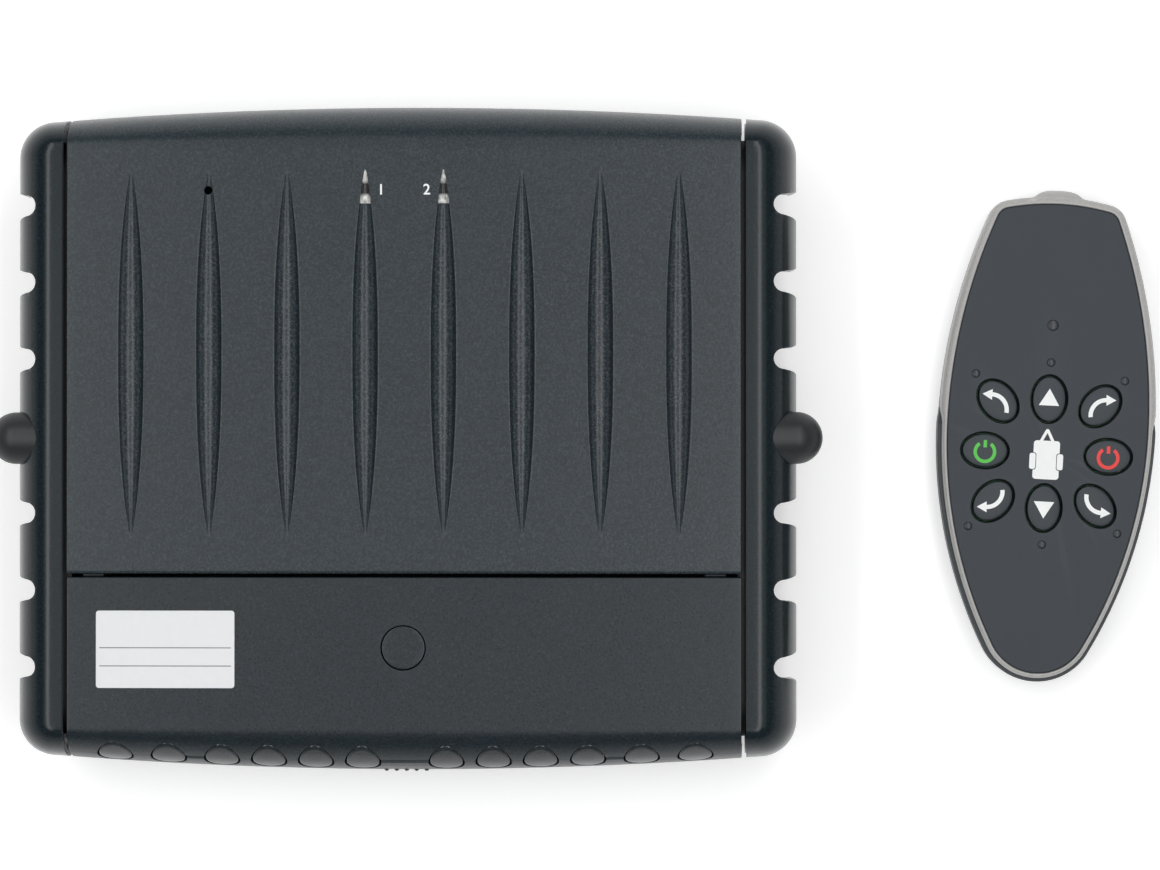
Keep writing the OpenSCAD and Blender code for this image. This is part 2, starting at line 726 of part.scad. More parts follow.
relay = [22, 16, 20];
relay_gap = 6;
relay_count = 4;
relay_side = 15;
relay_rise = 26;
relay_left = relay_side - board_right;
relay_y = board_low + relay_rise;
module relays() color("#1f3f74") for (i = [0:relay_count - 1])
    on_board(relay_left + i * (relay[0] + relay_gap), relay_y) cube(relay);

sink_l = 92;
sink_d = 20;
sink_h = 26;
sink_base = 4;
sink_fins = 7;
fin_t = 2;
sink_side = 26;
sink_drop = 34;
sink_x = sink_side - board_right;
sink_y = board_high - sink_drop;
module heat_sink() color("#a9adb1") on_board(sink_x, sink_y) {
    cube([sink_l, sink_base, sink_h]);
    for (i = [0:sink_fins - 1]) translate([i * (sink_l - fin_t) / (sink_fins - 1), 0, 0])
        cube([fin_t, sink_d, sink_h]);
}

transistor = [10, 4.4, 9];
transistor_count = 4;
tab_t = 1.3;
tab_h = 15.5;
lead_pitch = 2.54;
lead_w = 1;
lead_h = 5;
module power_transistors() color("#26282a") for (i = [0:transistor_count - 1])
    on_board(sink_x + (i + 0.5) * sink_l / transistor_count, sink_y - transistor[1]) {
        translate([-transistor[0] / 2, 0, lead_h]) cube(transistor);
        translate([-transistor[0] / 2, transistor[1] - tab_t, lead_h]) cube([transistor[0], tab_t, tab_h]);
        for (k = [-1:1]) translate([k * lead_pitch - lead_w / 2, transistor[1] / 2, 0])
            cube([lead_w, lead_w, lead_h + root]);
    }

can_r = 7;
can_h = 24;
can_gap = 2;
can_edge = 0.8;
can_side = 14;
can_rise = 8;
can_x = board_right - can_side;
can_y = board_y + can_rise;
module capacitors() color("#1d2f52") for (i = [0:1]) on_board(can_x - i * (2 * can_r + can_gap), can_y) {
    cylinder(r = can_r, h = can_h);
    translate([0, 0, can_h]) cylinder(r1 = can_r, r2 = can_r - can_edge, h = can_edge);
}

receiver = [28, 1.2, 17];
receiver_can = [18, 2.6, 10];
receiver_side = 42;
receiver_drop = 12;
module receiver_module() color("#356b4a")
    on_board(board_right - receiver_side, board_high - receiver_drop) {
        cube(receiver);
        side = (receiver[0] - receiver_can[0]) / 2;
        rise = (receiver[2] - receiver_can[2]) / 2;
        translate([side, eps - receiver_can[1], rise]) cube(receiver_can);
    }

aerial_r = 0.8;
aerial_h = 26;
aerial_side = 6;
aerial_drop = 14;
module aerial() color("#c8a24a") on_board(board_right - aerial_side, board_high - aerial_drop) {
    cylinder(r = 2 * aerial_r, h = 4 * aerial_r);
    cylinder(r = aerial_r, h = aerial_h);
    translate([0, 0, aerial_h]) sphere(r = aerial_r);
}

module status_leds() color("#d8e2dc") for (i = led_ribs) on_board(rib_x(i), led_y) {
    cylinder(r = led_r + root, h = 2 * root);
    cylinder(r = led_r, h = led_h);
}

// Terminals: a row of screw clamps and a strip fuse on pads in the cable chamber
pole_count = 6;
pole_pitch = 18;
pole_gap = 0.2;
pole_w = pole_pitch - pole_gap;
pole_bore_r = 4.5;
pole_bore_z = 8;
pole_screw_r = 3.2;
pole_screw_h = 6;
slot_w = 1;
block_w = (pole_count + 0.25) * pole_pitch;
block_d = 20;
block_h = 22;
block_x = -28;
block_drop = 21;
block_y = seam_low - block_drop;
block_z = floor_t + pad_h;
function pole_x(i) = block_x + (i - (pole_count - 1) / 2) * pole_pitch;
// Each clamp is a housing of its own, set side by side with its neighbours
module terminal_block() color("#6f7478") for (i = [0:pole_count - 1])
    translate([pole_x(i), block_y, block_z]) difference() {
        translate([-pole_w / 2, -block_d / 2, 0]) cube([pole_w, block_d, block_h]);
        translate([0, pole_bore_r / 2, pole_bore_z]) {
            rotate([90, 0, 0]) cylinder(r = pole_bore_r, h = block_d);
            translate([0, -pole_bore_r / 2, 0]) cylinder(r = pole_screw_r + fit, h = block_h);
        }
    }

module terminal_screws() color("#c9b26a") for (i = [0:pole_count - 1])
    translate([pole_x(i), block_y, block_z + pole_bore_z + pole_bore_r + air]) difference() {
        cylinder(r = pole_screw_r, h = pole_screw_h);
        translate([-pole_screw_r - cut, -slot_w / 2, pole_screw_h - slot_w])
            cube([2 * pole_screw_r + 2 * cut, slot_w, 2 * slot_w]);
    }

fuse_w = 44;
fuse_base = [fuse_w, 16, 6];
fuse_x = 62;
fuse_stud_x = 14;
fuse_stud_r = 2.4;
fuse_stud_h = 9;
fuse_blade = [10, 10, 2.4];
fuse_link_w = 5;
module fuse_holder() color("#26292b") translate([fuse_x, block_y, block_z]) {
    translate([-fuse_w / 2, -fuse_base[1] / 2, 0]) cube(fuse_base);
    for (side = [-1, 1]) translate([side * fuse_stud_x, 0, fuse_base[2] - root])
        cylinder(r = fuse_stud_r, h = fuse_stud_h);
}

module main_fuse() color("#c2c6c9") translate([fuse_x, block_y, block_z + fuse_base[2]]) difference() {
    union() {
        for (side = [-1, 1]) translate([side * fuse_stud_x - fuse_blade[0] / 2, -fuse_blade[1] / 2, 0])
            cube(fuse_blade);
        translate([-fuse_stud_x, -fuse_link_w / 2, 0]) cube([2 * fuse_stud_x, fuse_link_w, fuse_blade[2]]);
    }
    for (side = [-1, 1]) translate([side * fuse_stud_x, 0, -cut])
        cylinder(r = fuse_stud_r + fit, h = fuse_blade[2] + 2 * cut);
}

// Handset outline: five arcs a side, grown by d
function arc(cx, cy, r, from, to, steps) =
    [for (i = [0:steps]) let (a = from + (to - from) * i / steps) [cx + r * cos(a), cy + r * sin(a)]];
lower_end = -atan2(end_drop - end_r, -lower_c);
corner_gap_y = panel_wide_y - top_c;
corner_gap = norm([upper_c, corner_gap_y]);
corner_near = top_r - panel_corner_r;
corner_far = upper_r - panel_corner_r;
corner_along = (pow(corner_near, 2) - pow(corner_far, 2) + pow(corner_gap, 2)) / (2 * corner_gap);
corner_off = sqrt(corner_near * corner_near - corner_along * corner_along);
corner_c = [(corner_along * upper_c + corner_off * corner_gap_y) / corner_gap,
    top_c + (corner_along * corner_gap_y - corner_off * upper_c) / corner_gap];
upper_end = atan2(corner_c[1] - panel_wide_y, corner_c[0] - upper_c);
corner_end = atan2(corner_c[1] - top_c, corner_c[0]);
function right_side(d) = concat(
    arc(0, end_r - panel_bottom, end_r + d, -90, lower_end, 6),
    [for (p = [1:6]) arc(lower_c, panel_wide_y, lower_r + d, lower_end, 0, 6)[p]],
    [for (p = [1:6]) arc(upper_c, panel_wide_y, upper_r + d, 0, upper_end, 6)[p]],
    [for (p = [1:5]) arc(corner_c[0], corner_c[1], panel_corner_r + d, upper_end, corner_end, 5)[p]],
    [for (p = [1:4]) arc(0, top_c, top_r + d, corner_end, 90, 4)[p]]);
function outline(d) =
    let (right = right_side(d), n = len(right))
    concat(right, [for (i = [n - 2:-1:1]) [-right[i][0], right[i][1]]]);
function ring_at(d, z) = [for (p = outline(d)) [p[0], p[1], z]];
// Outline with one growth below the step in the sides and another above it
function stepped(low, high) =
    let (a = outline(low), b = outline(high))
    [for (i = [0:len(a) - 1])
        let (s = blend(clamp((b[i][1] - step_v[0]) / (step_v[1] - step_v[0]))))
        a[i] * (1 - s) + b[i] * s];
function stepped_at(low, high, z) = [for (p = stepped(low, high)) [p[0], p[1], z]];

// Lower edge of the frame: deep on the upper half, a narrow ring on the lower half
function frame_edge(y) =
    ring_z + (skirt_z - ring_z) * blend(clamp((y - seam_v[0]) / (seam_v[1] - seam_v[0])));

module on_handset() {
    translate([handset_x, handset_y, 0]) rotate([0, 0, -handset_turn]) children();
}

module nose(low, high) {
    intersection() {
        translate([0, panel_top + frame_w + nose_out - nose_r, low]) cylinder(r = nose_r, h = high - low);
        translate([-nose_w, panel_top + frame_w - shell_wall / 2, low])
            cube([2 * nose_w, 2 * nose_out + shell_wall, high - low]);
    }
}

// Frame: wall, rounded bead and the ledge that carries the panel
module handset_frame() color("#999795") on_handset() {
    low_w = frame_w - frame_inset;
    bead = [for (i = [0:bead_steps])
        let (a = 90 * i / bead_steps)
        stepped_at(bead_flat + (low_w - bead_flat) * cos(a), bead_flat + (frame_w - bead_flat) * cos(a),
            handset_d - bead_h * (1 - sin(a)))];
    inner = [[fit, handset_d], [fit, panel_under], [-ledge_w, panel_under], [-ledge_w, panel_under - ledge_t],
        [frame_w - shell_wall, panel_under - ledge_t - root]];
    rows = concat([[for (p = stepped(low_w, frame_w)) [p[0], p[1], frame_edge(p[1])]]],
        bead, [for (q = inner) ring_at(q[0], q[1])],
        [[for (p = outline(frame_w - shell_wall)) [p[0], p[1], frame_edge(p[1])]]]);
    n = len(rows[0]);
    k = len(rows);
    skin = [for (r = [0:k - 1], i = [0:n - 1])
        let (j = (i + 1) % n, s = (r + 1) % k, a = r * n + i, b = r * n + j, c = s * n + j, d = s * n + i)
        each [[a, d, c], [a, c, b]]];
    union() {
        polyhedron([for (r = rows) each r], skin);
        nose(skirt_z + cut, handset_d - 2 * panel_t);
    }
}

module key_place(k) {
    p = key_places[k];
    translate([p[0], p[1], 0]) rotate([0, 0, p[2]]) children();
}
// Places and turns of the keys: forward, back, four corners, on, off
key_places = [[0, straight_y, 0], [0, -straight_y, 0],
    [-corner_x, corner_y, corner_turn], [corner_x, corner_y, -corner_turn],
    [-corner_x, -corner_y, -corner_turn], [corner_x, -corner_y, corner_turn],
    [-power_x, 0, 90], [power_x, 0, 90]];
function ellipse(w, l) = [for (i = [0:35]) [w / 2 * cos(10 * i), l / 2 * sin(10 * i)]];
// Lamps: x, y, radius
lamp_y = 37.9;
lamp_gap = 10.8;
lamp_side = 6.9;
lamp_rise = 7.8;
lamp_places = concat([[0, lamp_y, lamp_r]],
    [for (y = [-1, 1]) [0, y * (straight_y + lamp_gap), small_lamp_r]],
    [for (x = [-1, 1], y = [-1, 1])
        [x * (corner_x + lamp_side), y * (corner_y + lamp_rise), small_lamp_r]]);

module handset_panel() color("#4a5055") on_handset() difference() {
    union() {
        translate([0, 0, panel_under]) linear_extrude(panel_t) polygon(outline(0));
        screw_places() translate([0, 0, hs_board_top])
            cylinder(r = hs_post_r - root, h = panel_under + root - hs_board_top);
    }
    translate([0, 0, panel_under - cut]) {
        for (k = [0:7]) key_place(k) linear_extrude(panel_t + 2 * cut) polygon(ellipse(hole_w, hole_l));
        for (p = lamp_places) translate([p[0], p[1], 0])
            cylinder(r = p[2] + fit / 2, h = panel_t + 2 * cut);
    }
    screw_places() translate([0, 0, hs_board_top - cut])
        cylinder(r = hs_thread_r + eps, h = hs_bite + root + cut);
}

module indicator_lenses() color("#3d4347") on_handset() for (p = lamp_places)
    translate([p[0], p[1], panel_under]) cylinder(r = p[2], h = panel_t - fit);

// Key: oval with a crowned top
module key(k) color("#4a5055") on_handset() key_place(k) intersection() {
    translate([0, 0, key_foot]) linear_extrude(handset_d)
        polygon(ellipse(hole_w - 2 * key_gap, hole_l - 2 * key_gap));
    translate([0, 0, handset_d + key_proud - key_crown_r]) sphere(r = key_crown_r);
}
module key_forward() key(0);
module key_back() key(1);
module key_left_forward() key(2);
module key_right_forward() key(3);
module key_left_back() key(4);
module key_right_back() key(5);
module key_on() key(6);
module key_off() key(7);

module keypad_mat() color("#33373a") on_handset() translate([0, 0, hs_board_top]) difference() {
    linear_extrude(mat_t) intersection() {
        polygon(outline(-board_inset));
        square([2 * power_x, 2 * straight_y] + (hole_l + 2 * mat_margin) * [1, 1], center = true);
    }
    for (k = [0:7]) key_place(k) translate([0, 0, -cut]) linear_extrude(mat_t + 2 * cut)
        polygon(ellipse(hole_w - key_gap, hole_l - key_gap));
}

module dome_switches() color("#c5c8ca") on_handset() for (k = [0:7]) key_place(k)
    translate([0, 0, hs_board_top]) cylinder(r1 = dome_r, r2 = 0.75 * dome_r, h = dome_h);

module handset_board() color("#2f6b45") on_handset() translate([0, 0, hs_board_z]) difference() {
    linear_extrude(board_t) polygon(outline(-board_inset));
    screw_places() translate([0, 0, -cut]) cylinder(r = hs_hole_r, h = board_t + 2 * cut);
}

module buzzer() color("#26282a") on_handset() translate([0, buzzer_y, hs_board_top]) difference() {
    cylinder(r = buzzer_r, h = buzzer_h);
    translate([0, 0, buzzer_h - 2 * cut]) cylinder(r = cut, h = 3 * cut);
}

// Rounded back of the handset: rings from its flat up to the side wall, for an inset and a floor height
function back_rings(inset, radius, floor_z, steps) =
    [for (i = [0:steps])
        let (a = 90 * i / steps)
        let (d = frame_w - inset - radius * (1 - sin(a)))
        stepped_at(d + shell_out, d, floor_z + radius * (1 - cos(a)))];
function rim_ring(inset) =
    [for (p = stepped(frame_w + shell_out - inset, frame_w - inset))
        [p[0], p[1], frame_edge(p[1]) - shell_rim_gap]];
function reversed(list) = [for (i = [len(list) - 1:-1:0]) list[i]];

module screw_places() {
    for (p = hs_screws) translate([p[0], p[1], 0]) children();
}

// Back shell: bowl with a rounded back, a battery bay and the door's track
module handset_back_shell() color("#3c4043") on_handset() difference() {
    union() {
        loft(concat(back_rings(0, back_r, 0, 4), [rim_ring(0), rim_ring(shell_wall)],
            reversed(back_rings(shell_wall, back_r - shell_wall, hs_floor, 3))));
        translate([0, 0, hs_floor - root]) {
            screw_places() cylinder(r = hs_post_r, h = hs_board_z - hs_floor + root);
            for (side = [-1, 1])
                translate([-bay_half_w, cell_mid + side * (bay_half_l + bay_wall / 2) - bay_wall / 2, 0])
                    cube([2 * bay_half_w, bay_wall, cell_d]);
        }
    }
    door_track(door_w / 2 + fit, -cut, door_t + fit);
    door_track(door_w / 2 + door_tongue + fit, door_t - tongue_t - fit, door_t + fit);
    translate([-bay_half_w, cell_mid - bay_half_l, -cut])
        cube([2 * bay_half_w, 2 * bay_half_l, hs_floor + 2 * cut]);
    screw_places() translate([0, 0, -cut]) {
        cylinder(r = hs_hole_r, h = hs_board_z + 2 * cut);
        cylinder(r = hs_head_r + fit, h = hs_head_z + cut);
    }
}

// Block from the lower end up to the door's upper edge, for a half width and two heights
module door_track(half, low, high) {
    translate([-half, -2 * panel_bottom, low])
        cube([2 * half, 2 * panel_bottom + door_top + fit, high - low]);
}

// Battery door: slides off the lower end in the track under the back
module battery_door() color("#383c3f") on_handset() intersection() {
    loft(back_rings(0, back_r, 0, 4));
    union() {
        translate([0, -fit, 0]) door_track(door_w / 2, 0, door_t);
        translate([0, -fit, 0]) door_track(door_w / 2 + door_tongue, door_t - tongue_t, door_t);
    }
}

module cells_at() {
    for (i = [-1:1])
        translate([i * cell_pitch, cell_mid, cell_z]) rotate([0, 0, i == 0 ? 180 : 0]) children();
}

module battery_cells() color("#3f5f3a") on_handset() cells_at()
    translate([0, -cell_l / 2, 0]) rotate([-90, 0, 0]) {
        cylinder(d = cell_d - fit, h = cell_l);
        translate([0, 0, cell_l]) cylinder(r = cell_button_r, h = cell_button_h);
    }

// Contacts: a dimpled plate at each button end, a plate with a coned spring at the other
module battery_contacts() color("#c8ccd0") on_handset() cells_at() {
    plate_y = bay_half_l - contact_t - fit;
    dimple = plate_y - cell_l / 2 - cell_button_h - fit;
    spring = plate_y - cell_l / 2 - fit;
    for (side = [-1, 1]) translate([0, side * (plate_y + contact_t / 2), 0])
        cube([contact_w, contact_t, contact_w], center = true);
    translate([0, plate_y + contact_t / 2, 0]) rotate([90, 0, 0])
        cylinder(r = cell_button_r, h = dimple + contact_t / 2);
    translate([0, -cell_l / 2 - fit, 0]) rotate([90, 0, 0])
        cylinder(r1 = cell_button_r, r2 = contact_w / 2 - root, h = spring + contact_t / 2);
}

module handset_screws() color("#b8bcc0") on_handset() screw_places() translate([0, 0, hs_head_z - hs_head_h]) {
    cylinder(r = hs_head_r, h = hs_head_h - eps);
    cylinder(r = hs_thread_r, h = hs_board_top + hs_bite - hs_head_z + hs_head_h);
}

base_tray();
main_cover();
terminal_cover();
cable_entry_wall();
left_end_cap();
right_end_cap();
left_side_stud();
right_side_stud();
cable_plugs();
blanking_plug();
light_guide_1();
light_guide_2();
reset_button();
reset_switch();
status_leds();
main_board();
board_screws();
relays();
heat_sink();
power_transistors();
capacitors();
terminal_block();
terminal_screws();
fuse_holder();
main_fuse();
receiver_module();
aerial();
cover_screws();
entry_wall_screws();
handset_back_shell();
handset_frame();
handset_panel();
key_forward();
key_back();
key_left_forward();
key_right_forward();
key_left_back();
key_right_back();
key_on();
key_off();
keypad_mat();
handset_board();
dome_switches();
battery_door();
battery_cells();
battery_contacts();
indicator_lenses();
handset_screws();
buzzer();
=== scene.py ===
"""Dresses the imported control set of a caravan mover: a ribbed control unit and its radio handset."""

from math import asin, atan2, cos, hypot, pi, radians, sin, sqrt

import bmesh
import bpy
from bpy.props import FloatProperty, FloatVectorProperty, IntProperty, PointerProperty
from mathutils import Matrix, Vector


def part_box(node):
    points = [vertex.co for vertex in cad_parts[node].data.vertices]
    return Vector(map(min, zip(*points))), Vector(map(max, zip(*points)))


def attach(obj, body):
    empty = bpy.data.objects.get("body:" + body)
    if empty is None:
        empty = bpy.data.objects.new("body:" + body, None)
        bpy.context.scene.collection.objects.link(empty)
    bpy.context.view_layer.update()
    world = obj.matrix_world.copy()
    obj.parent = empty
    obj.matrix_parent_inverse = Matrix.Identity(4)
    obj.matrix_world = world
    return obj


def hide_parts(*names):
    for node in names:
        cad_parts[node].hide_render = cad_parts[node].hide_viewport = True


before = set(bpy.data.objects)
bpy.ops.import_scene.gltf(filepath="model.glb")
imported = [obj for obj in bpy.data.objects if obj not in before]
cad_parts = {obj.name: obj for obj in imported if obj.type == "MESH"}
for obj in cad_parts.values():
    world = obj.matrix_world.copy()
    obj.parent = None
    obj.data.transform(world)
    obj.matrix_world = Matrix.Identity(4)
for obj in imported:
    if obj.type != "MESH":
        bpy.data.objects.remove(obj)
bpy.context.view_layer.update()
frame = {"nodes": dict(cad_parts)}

bl_info = {
    "name": "Caravan mover control set",
    "version": (1, 0, 0),
    "blender": (4, 5, 0),
    "location": "View3D > Sidebar > Mover set",
    "description": "Models and dresses the control unit and the radio handset of a caravan mover",
    "category": "Object",
}

MM = 0.001
GLOSS = 0.37  # specular level of plain plastic


def srgb(red, green, blue):
    """Linear colour of three display values from 0 to 255."""
    return tuple(c / 12.92 if c <= 0.04045 else ((c + 0.055) / 1.055) ** 2.4
                 for c in (red / 255, green / 255, blue / 255))


def length(name, description, default):
    return FloatProperty(name=name, description=description, default=default, unit='LENGTH', precision=4)


def colour(name, description, *display):
    return FloatVectorProperty(name=name, description=description, default=srgb(*display), size=3,
                               subtype='COLOR', min=0, max=1)


class ControlUnitSizes(bpy.types.PropertyGroup):
    """Sizes of the ribbed control unit"""
    half_width: length("Half width", "Centre line to the outside of an end cap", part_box("right_end_cap")[1].x)
    half_height: length("Half height", "Centre line to the crown of the outline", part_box("main_cover")[1].y)
    face: length("Face height", "Mounting surface to the flat face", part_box("right_end_cap")[1].z)
    body_half: length("Half width of the covers", "Centre line to the ends of the covers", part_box("main_cover")[1].x)
    cap_inside: length("Cap joint", "Centre line to the inner edge of an end cap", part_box("right_end_cap")[0].x)
    rim: length("Rim height", "Mounting surface to the covers' lower rim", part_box("main_cover")[0].z)
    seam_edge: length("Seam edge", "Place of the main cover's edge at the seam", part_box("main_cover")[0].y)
    crown_fall: length("Crown fall", "How far the outline falls from the crown to the cap joints", 3.6 * MM)
    edge_width: length("Edge width", "Plan width of the rounded edge", 13 * MM)
    edge_depth: length("Edge depth", "Depth of the rounded edge", 17.6 * MM)
    wall: length("Wall", "Thickness of the covers and caps", 2.6 * MM)
    seam_gap: length("Seam", "Gap between the two covers", 1.8 * MM)
    lid_step: length("Cover step", "How much lower the terminal cover lies", 1 * MM)
    rim_round: length("Rim rounding", "Rounding of the covers' rims", 0.5 * MM)
    rib_pitch: length("Rib spacing", "Spacing of the ribs", 22.84 * MM)
    rib_shift: length("Rib shift", "Middle of the rib row right of the centre line", 0.4 * MM)
    rib_length: length("Rib length", "Length of a rib", 112 * MM)
    rib_width: length("Rib width", "Width of a rib at its middle", 7.2 * MM)
    rib_middle: length("Rib middle", "Middle of the ribs above the centre", 24.7 * MM)
    rib_sink: length("Rib sink", "How deep a rib's axis lies under the face", 0.4 * MM)
    ribs: IntProperty(name="Ribs", description="Number of ribs", default=8, min=2, max=12)
    guide_length: length("Light guide", "Length of a light guide's tip", 12.5 * MM)
    cap_edge: length("Cap edge", "Plan width of a cap's rounded side", 11.5 * MM)
    notch_pitch: length("Notch spacing", "Spacing of the notches", 22.5 * MM)
    notch_width: length("Notch width", "Width of a notch at its inner end", 6 * MM)
    notch_mouth: length("Notch mouth", "Width of a notch at its mouth", 8.4 * MM)
    notch_depth: length("Notch depth", "Depth of a notch", 6.7 * MM)
    notch_shift: length("Notch shift", "How far the notches sit above the studs' line", 0.6 * MM)
    stud_radius: length("Stud radius", "Radius of a side stud", 7.6 * MM)
    plug_radius: length("Plug radius", "Radius of a cable plug", 4.9 * MM)
    parting_rise: length("Parting line", "Parting line above the plugs' centres", 0.6 * MM)
    plug_groove: length("Plug groove", "Gap around a cable plug", 0.45 * MM)


class HandsetSizes(bpy.types.PropertyGroup):
    """Sizes of the radio handset, about its keypad centre"""
    x: length("Across", "Keypad centre to the right of the unit's centre", 188.4 * MM)
    y: length("Up", "Keypad centre above the unit's centre", -4.5 * MM)
    turn: FloatProperty(name="Turn", description="Turn clockwise from above", default=radians(3), subtype='ANGLE')
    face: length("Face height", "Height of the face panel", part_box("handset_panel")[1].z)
    half_width: length("Half width", "Half width of the face panel", 29.5 * MM)
    top: length("Top", "Face panel above the keypad centre", 73.7 * MM)
    bottom: length("Bottom", "Face panel below the keypad centre", 64.9 * MM)
    widest: length("Widest place", "Widest place above the keypad centre", 8 * MM)
    upper_radius: length("Upper sides", "Radius of the upper sides", 168 * MM)
    lower_radius: length("Lower sides", "Radius of the lower sides", 137 * MM)
    top_radius: length("Top edge", "Radius of the top edge", 66.7 * MM)
    corner_radius: length("Top corners", "Radius of the top corners", 4 * MM)
    frame_width: length("Frame", "Width of the grey frame", 2.3 * MM)
    hole_width: length("Key hole width", "Short width of a key hole", 11.3 * MM)
    hole_length: length("Key hole length", "Long width of a key hole", 14.8 * MM)
    key_gap: length("Key gap", "Gap between a key and its hole", 0.85 * MM)
    key_proud: length("Key crown", "Height of a key's crown above the panel", 0.3 * MM)
    straight_key: length("Straight keys", "Forward and back keys from the centre", 16.1 * MM)
    power_key: length("Power keys", "On and off keys from the centre", 18.15 * MM)
    corner_key_x: length("Corner keys across", "Corner keys from the centre line", 15.06 * MM)
    corner_key_y: length("Corner keys up", "Corner keys from the cross line", 14.76 * MM)
    corner_turn: FloatProperty(name="Corner key turn", description="Turn of the corner keys from upright",
                               default=radians(43), subtype='ANGLE')


class SetColours(bpy.types.PropertyGroup):
    """Colours of the set's plastics, prints and lamps"""
    cover: colour("Main cover", "Grained main cover", 31, 40, 45)
    lid: colour("Terminal cover", "Smoother terminal cover", 23, 31, 36)
    cap: colour("End caps", "End caps", 15, 25, 30)
    stud: colour("Studs", "Side studs", 33, 36, 38)
    plug: colour("Plugs", "Cable plugs", 33, 38, 41)
    tray: colour("Tray", "Base tray", 24, 25, 26)
    label: colour("Label", "Label paper", 222, 224, 226)
    print_grey: colour("Label rules", "Thin rules on the label", 120, 124, 128)
    print_white: colour("White print", "Key signs and numerals", 236, 238, 238)
    on_green: colour("On sign", "Sign of the on key", 86, 190, 75)
    off_red: colour("Off sign", "Sign of the off key", 226, 62, 58)
    panel: colour("Handset panel", "Soft panel of the handset", 45, 50, 56)
    key: colour("Keys", "Handset keys", 47, 53, 58)
    frame: colour("Handset frame", "Satin grey frame", 158, 157, 155)
    shell: colour("Handset shell", "Lower shell of the handset", 60, 64, 67)
    floor: colour("Floor", "Pale studio floor", 252, 252, 252)


class Node:
    """A shader socket that works in Python sums; its node method adds any other node to the same tree."""

    def __init__(self, tree, socket=None):
        self.tree, self.socket = tree, socket

    def node(self, kind, settings=None, inputs=None, output=0):
        """Adds a node: first its settings, then the values or links of its inputs."""
        new = self.tree.nodes.new(kind)
        for key, value in (settings or {}).items():
            setattr(new, key, value)
        for key, value in (inputs or {}).items():
            if isinstance(value, Node):
                self.tree.links.new(value.socket, new.inputs[key])
            else:
                new.inputs[key].default_value = value
        return Node(self.tree, new.outputs[output])

    def math(self, operation, first, second=0.0):
        return self.node("ShaderNodeMath", {"operation": operation}, {0: first, 1: second})

    def mix(self, factor, first, second):
        """Colour between two colours."""
        first, second = (c if isinstance(c, Node) else (*c[:3], 1) for c in (first, second))
        return self.node("ShaderNodeMix", {"data_type": 'RGBA'}, {0: factor, 6: first, 7: second}, 2)

    def ramp(self, low, high):
        """This value taken from low to 0 and high to 1, and kept between them."""
        return self.node("ShaderNodeMapRange", {}, {"Value": self, "From Min": low, "From Max": high})

    def axis(self, index):
        """One coordinate of this vector."""
        return self.node("ShaderNodeSeparateXYZ", {}, {"Vector": self}, index)

    def __add__(self, other):
        return self.math('ADD', self, other)

    def __sub__(self, other):
        return self.math('SUBTRACT', self, other)

    def __rsub__(self, other):
        return self.math('SUBTRACT', other, self)

    def __mul__(self, other):
        return self.math('MULTIPLY', self, other)

    __radd__, __rmul__ = __add__, __mul__


class Surface(Node):
    """A new material with its main shader, object coordinates and the mesh's own edges as masks."""

    def __init__(self, name):
        self.material = bpy.data.materials.new(name)
        self.material.use_nodes = True
        super().__init__(self.material.node_tree)
        self.shader = self.tree.nodes["Principled BSDF"]
        self.set(Specular_IOR_Level=GLOSS)
        self.place = self.node("ShaderNodeTexCoord", output="Object")

    def noise(self, size, detail=2.0, roughness=0.55, stretch=(1, 1, 1)):
        """Noise whose features are about size across, in metres."""
        place = self.node("ShaderNodeMapping", {}, {"Vector": self.place, "Scale": stretch})
        return self.node("ShaderNodeTexNoise", {}, {"Vector": place, "Scale": 1 / size, "Detail": detail,
                                                    "Roughness": roughness})

    def edges(self):
        """Mask of the convex edges of the mesh."""
        return self.node("ShaderNodeNewGeometry", output="Pointiness").ramp(0.52, 0.62)

    def set(self, **sockets):
        """Sets sockets of the main shader, named with underscores for blanks."""
        for key, value in sockets.items():
            socket = self.shader.inputs[key.replace("_", " ")]
            if isinstance(value, Node):
                self.tree.links.new(value.socket, socket)
            else:
                socket.default_value = (*value, 1) if hasattr(value, "__len__") and len(value) == 3 else value

    def bump(self, height, strength, distance):
        self.set(Normal=self.node("ShaderNodeBump", {}, {"Height": height, "Strength": strength,
                                                         "Distance": distance}))


def shade(tone, factor):
    """The colour made lighter or darker."""
    return tuple(min(1, c * factor) for c in tone)


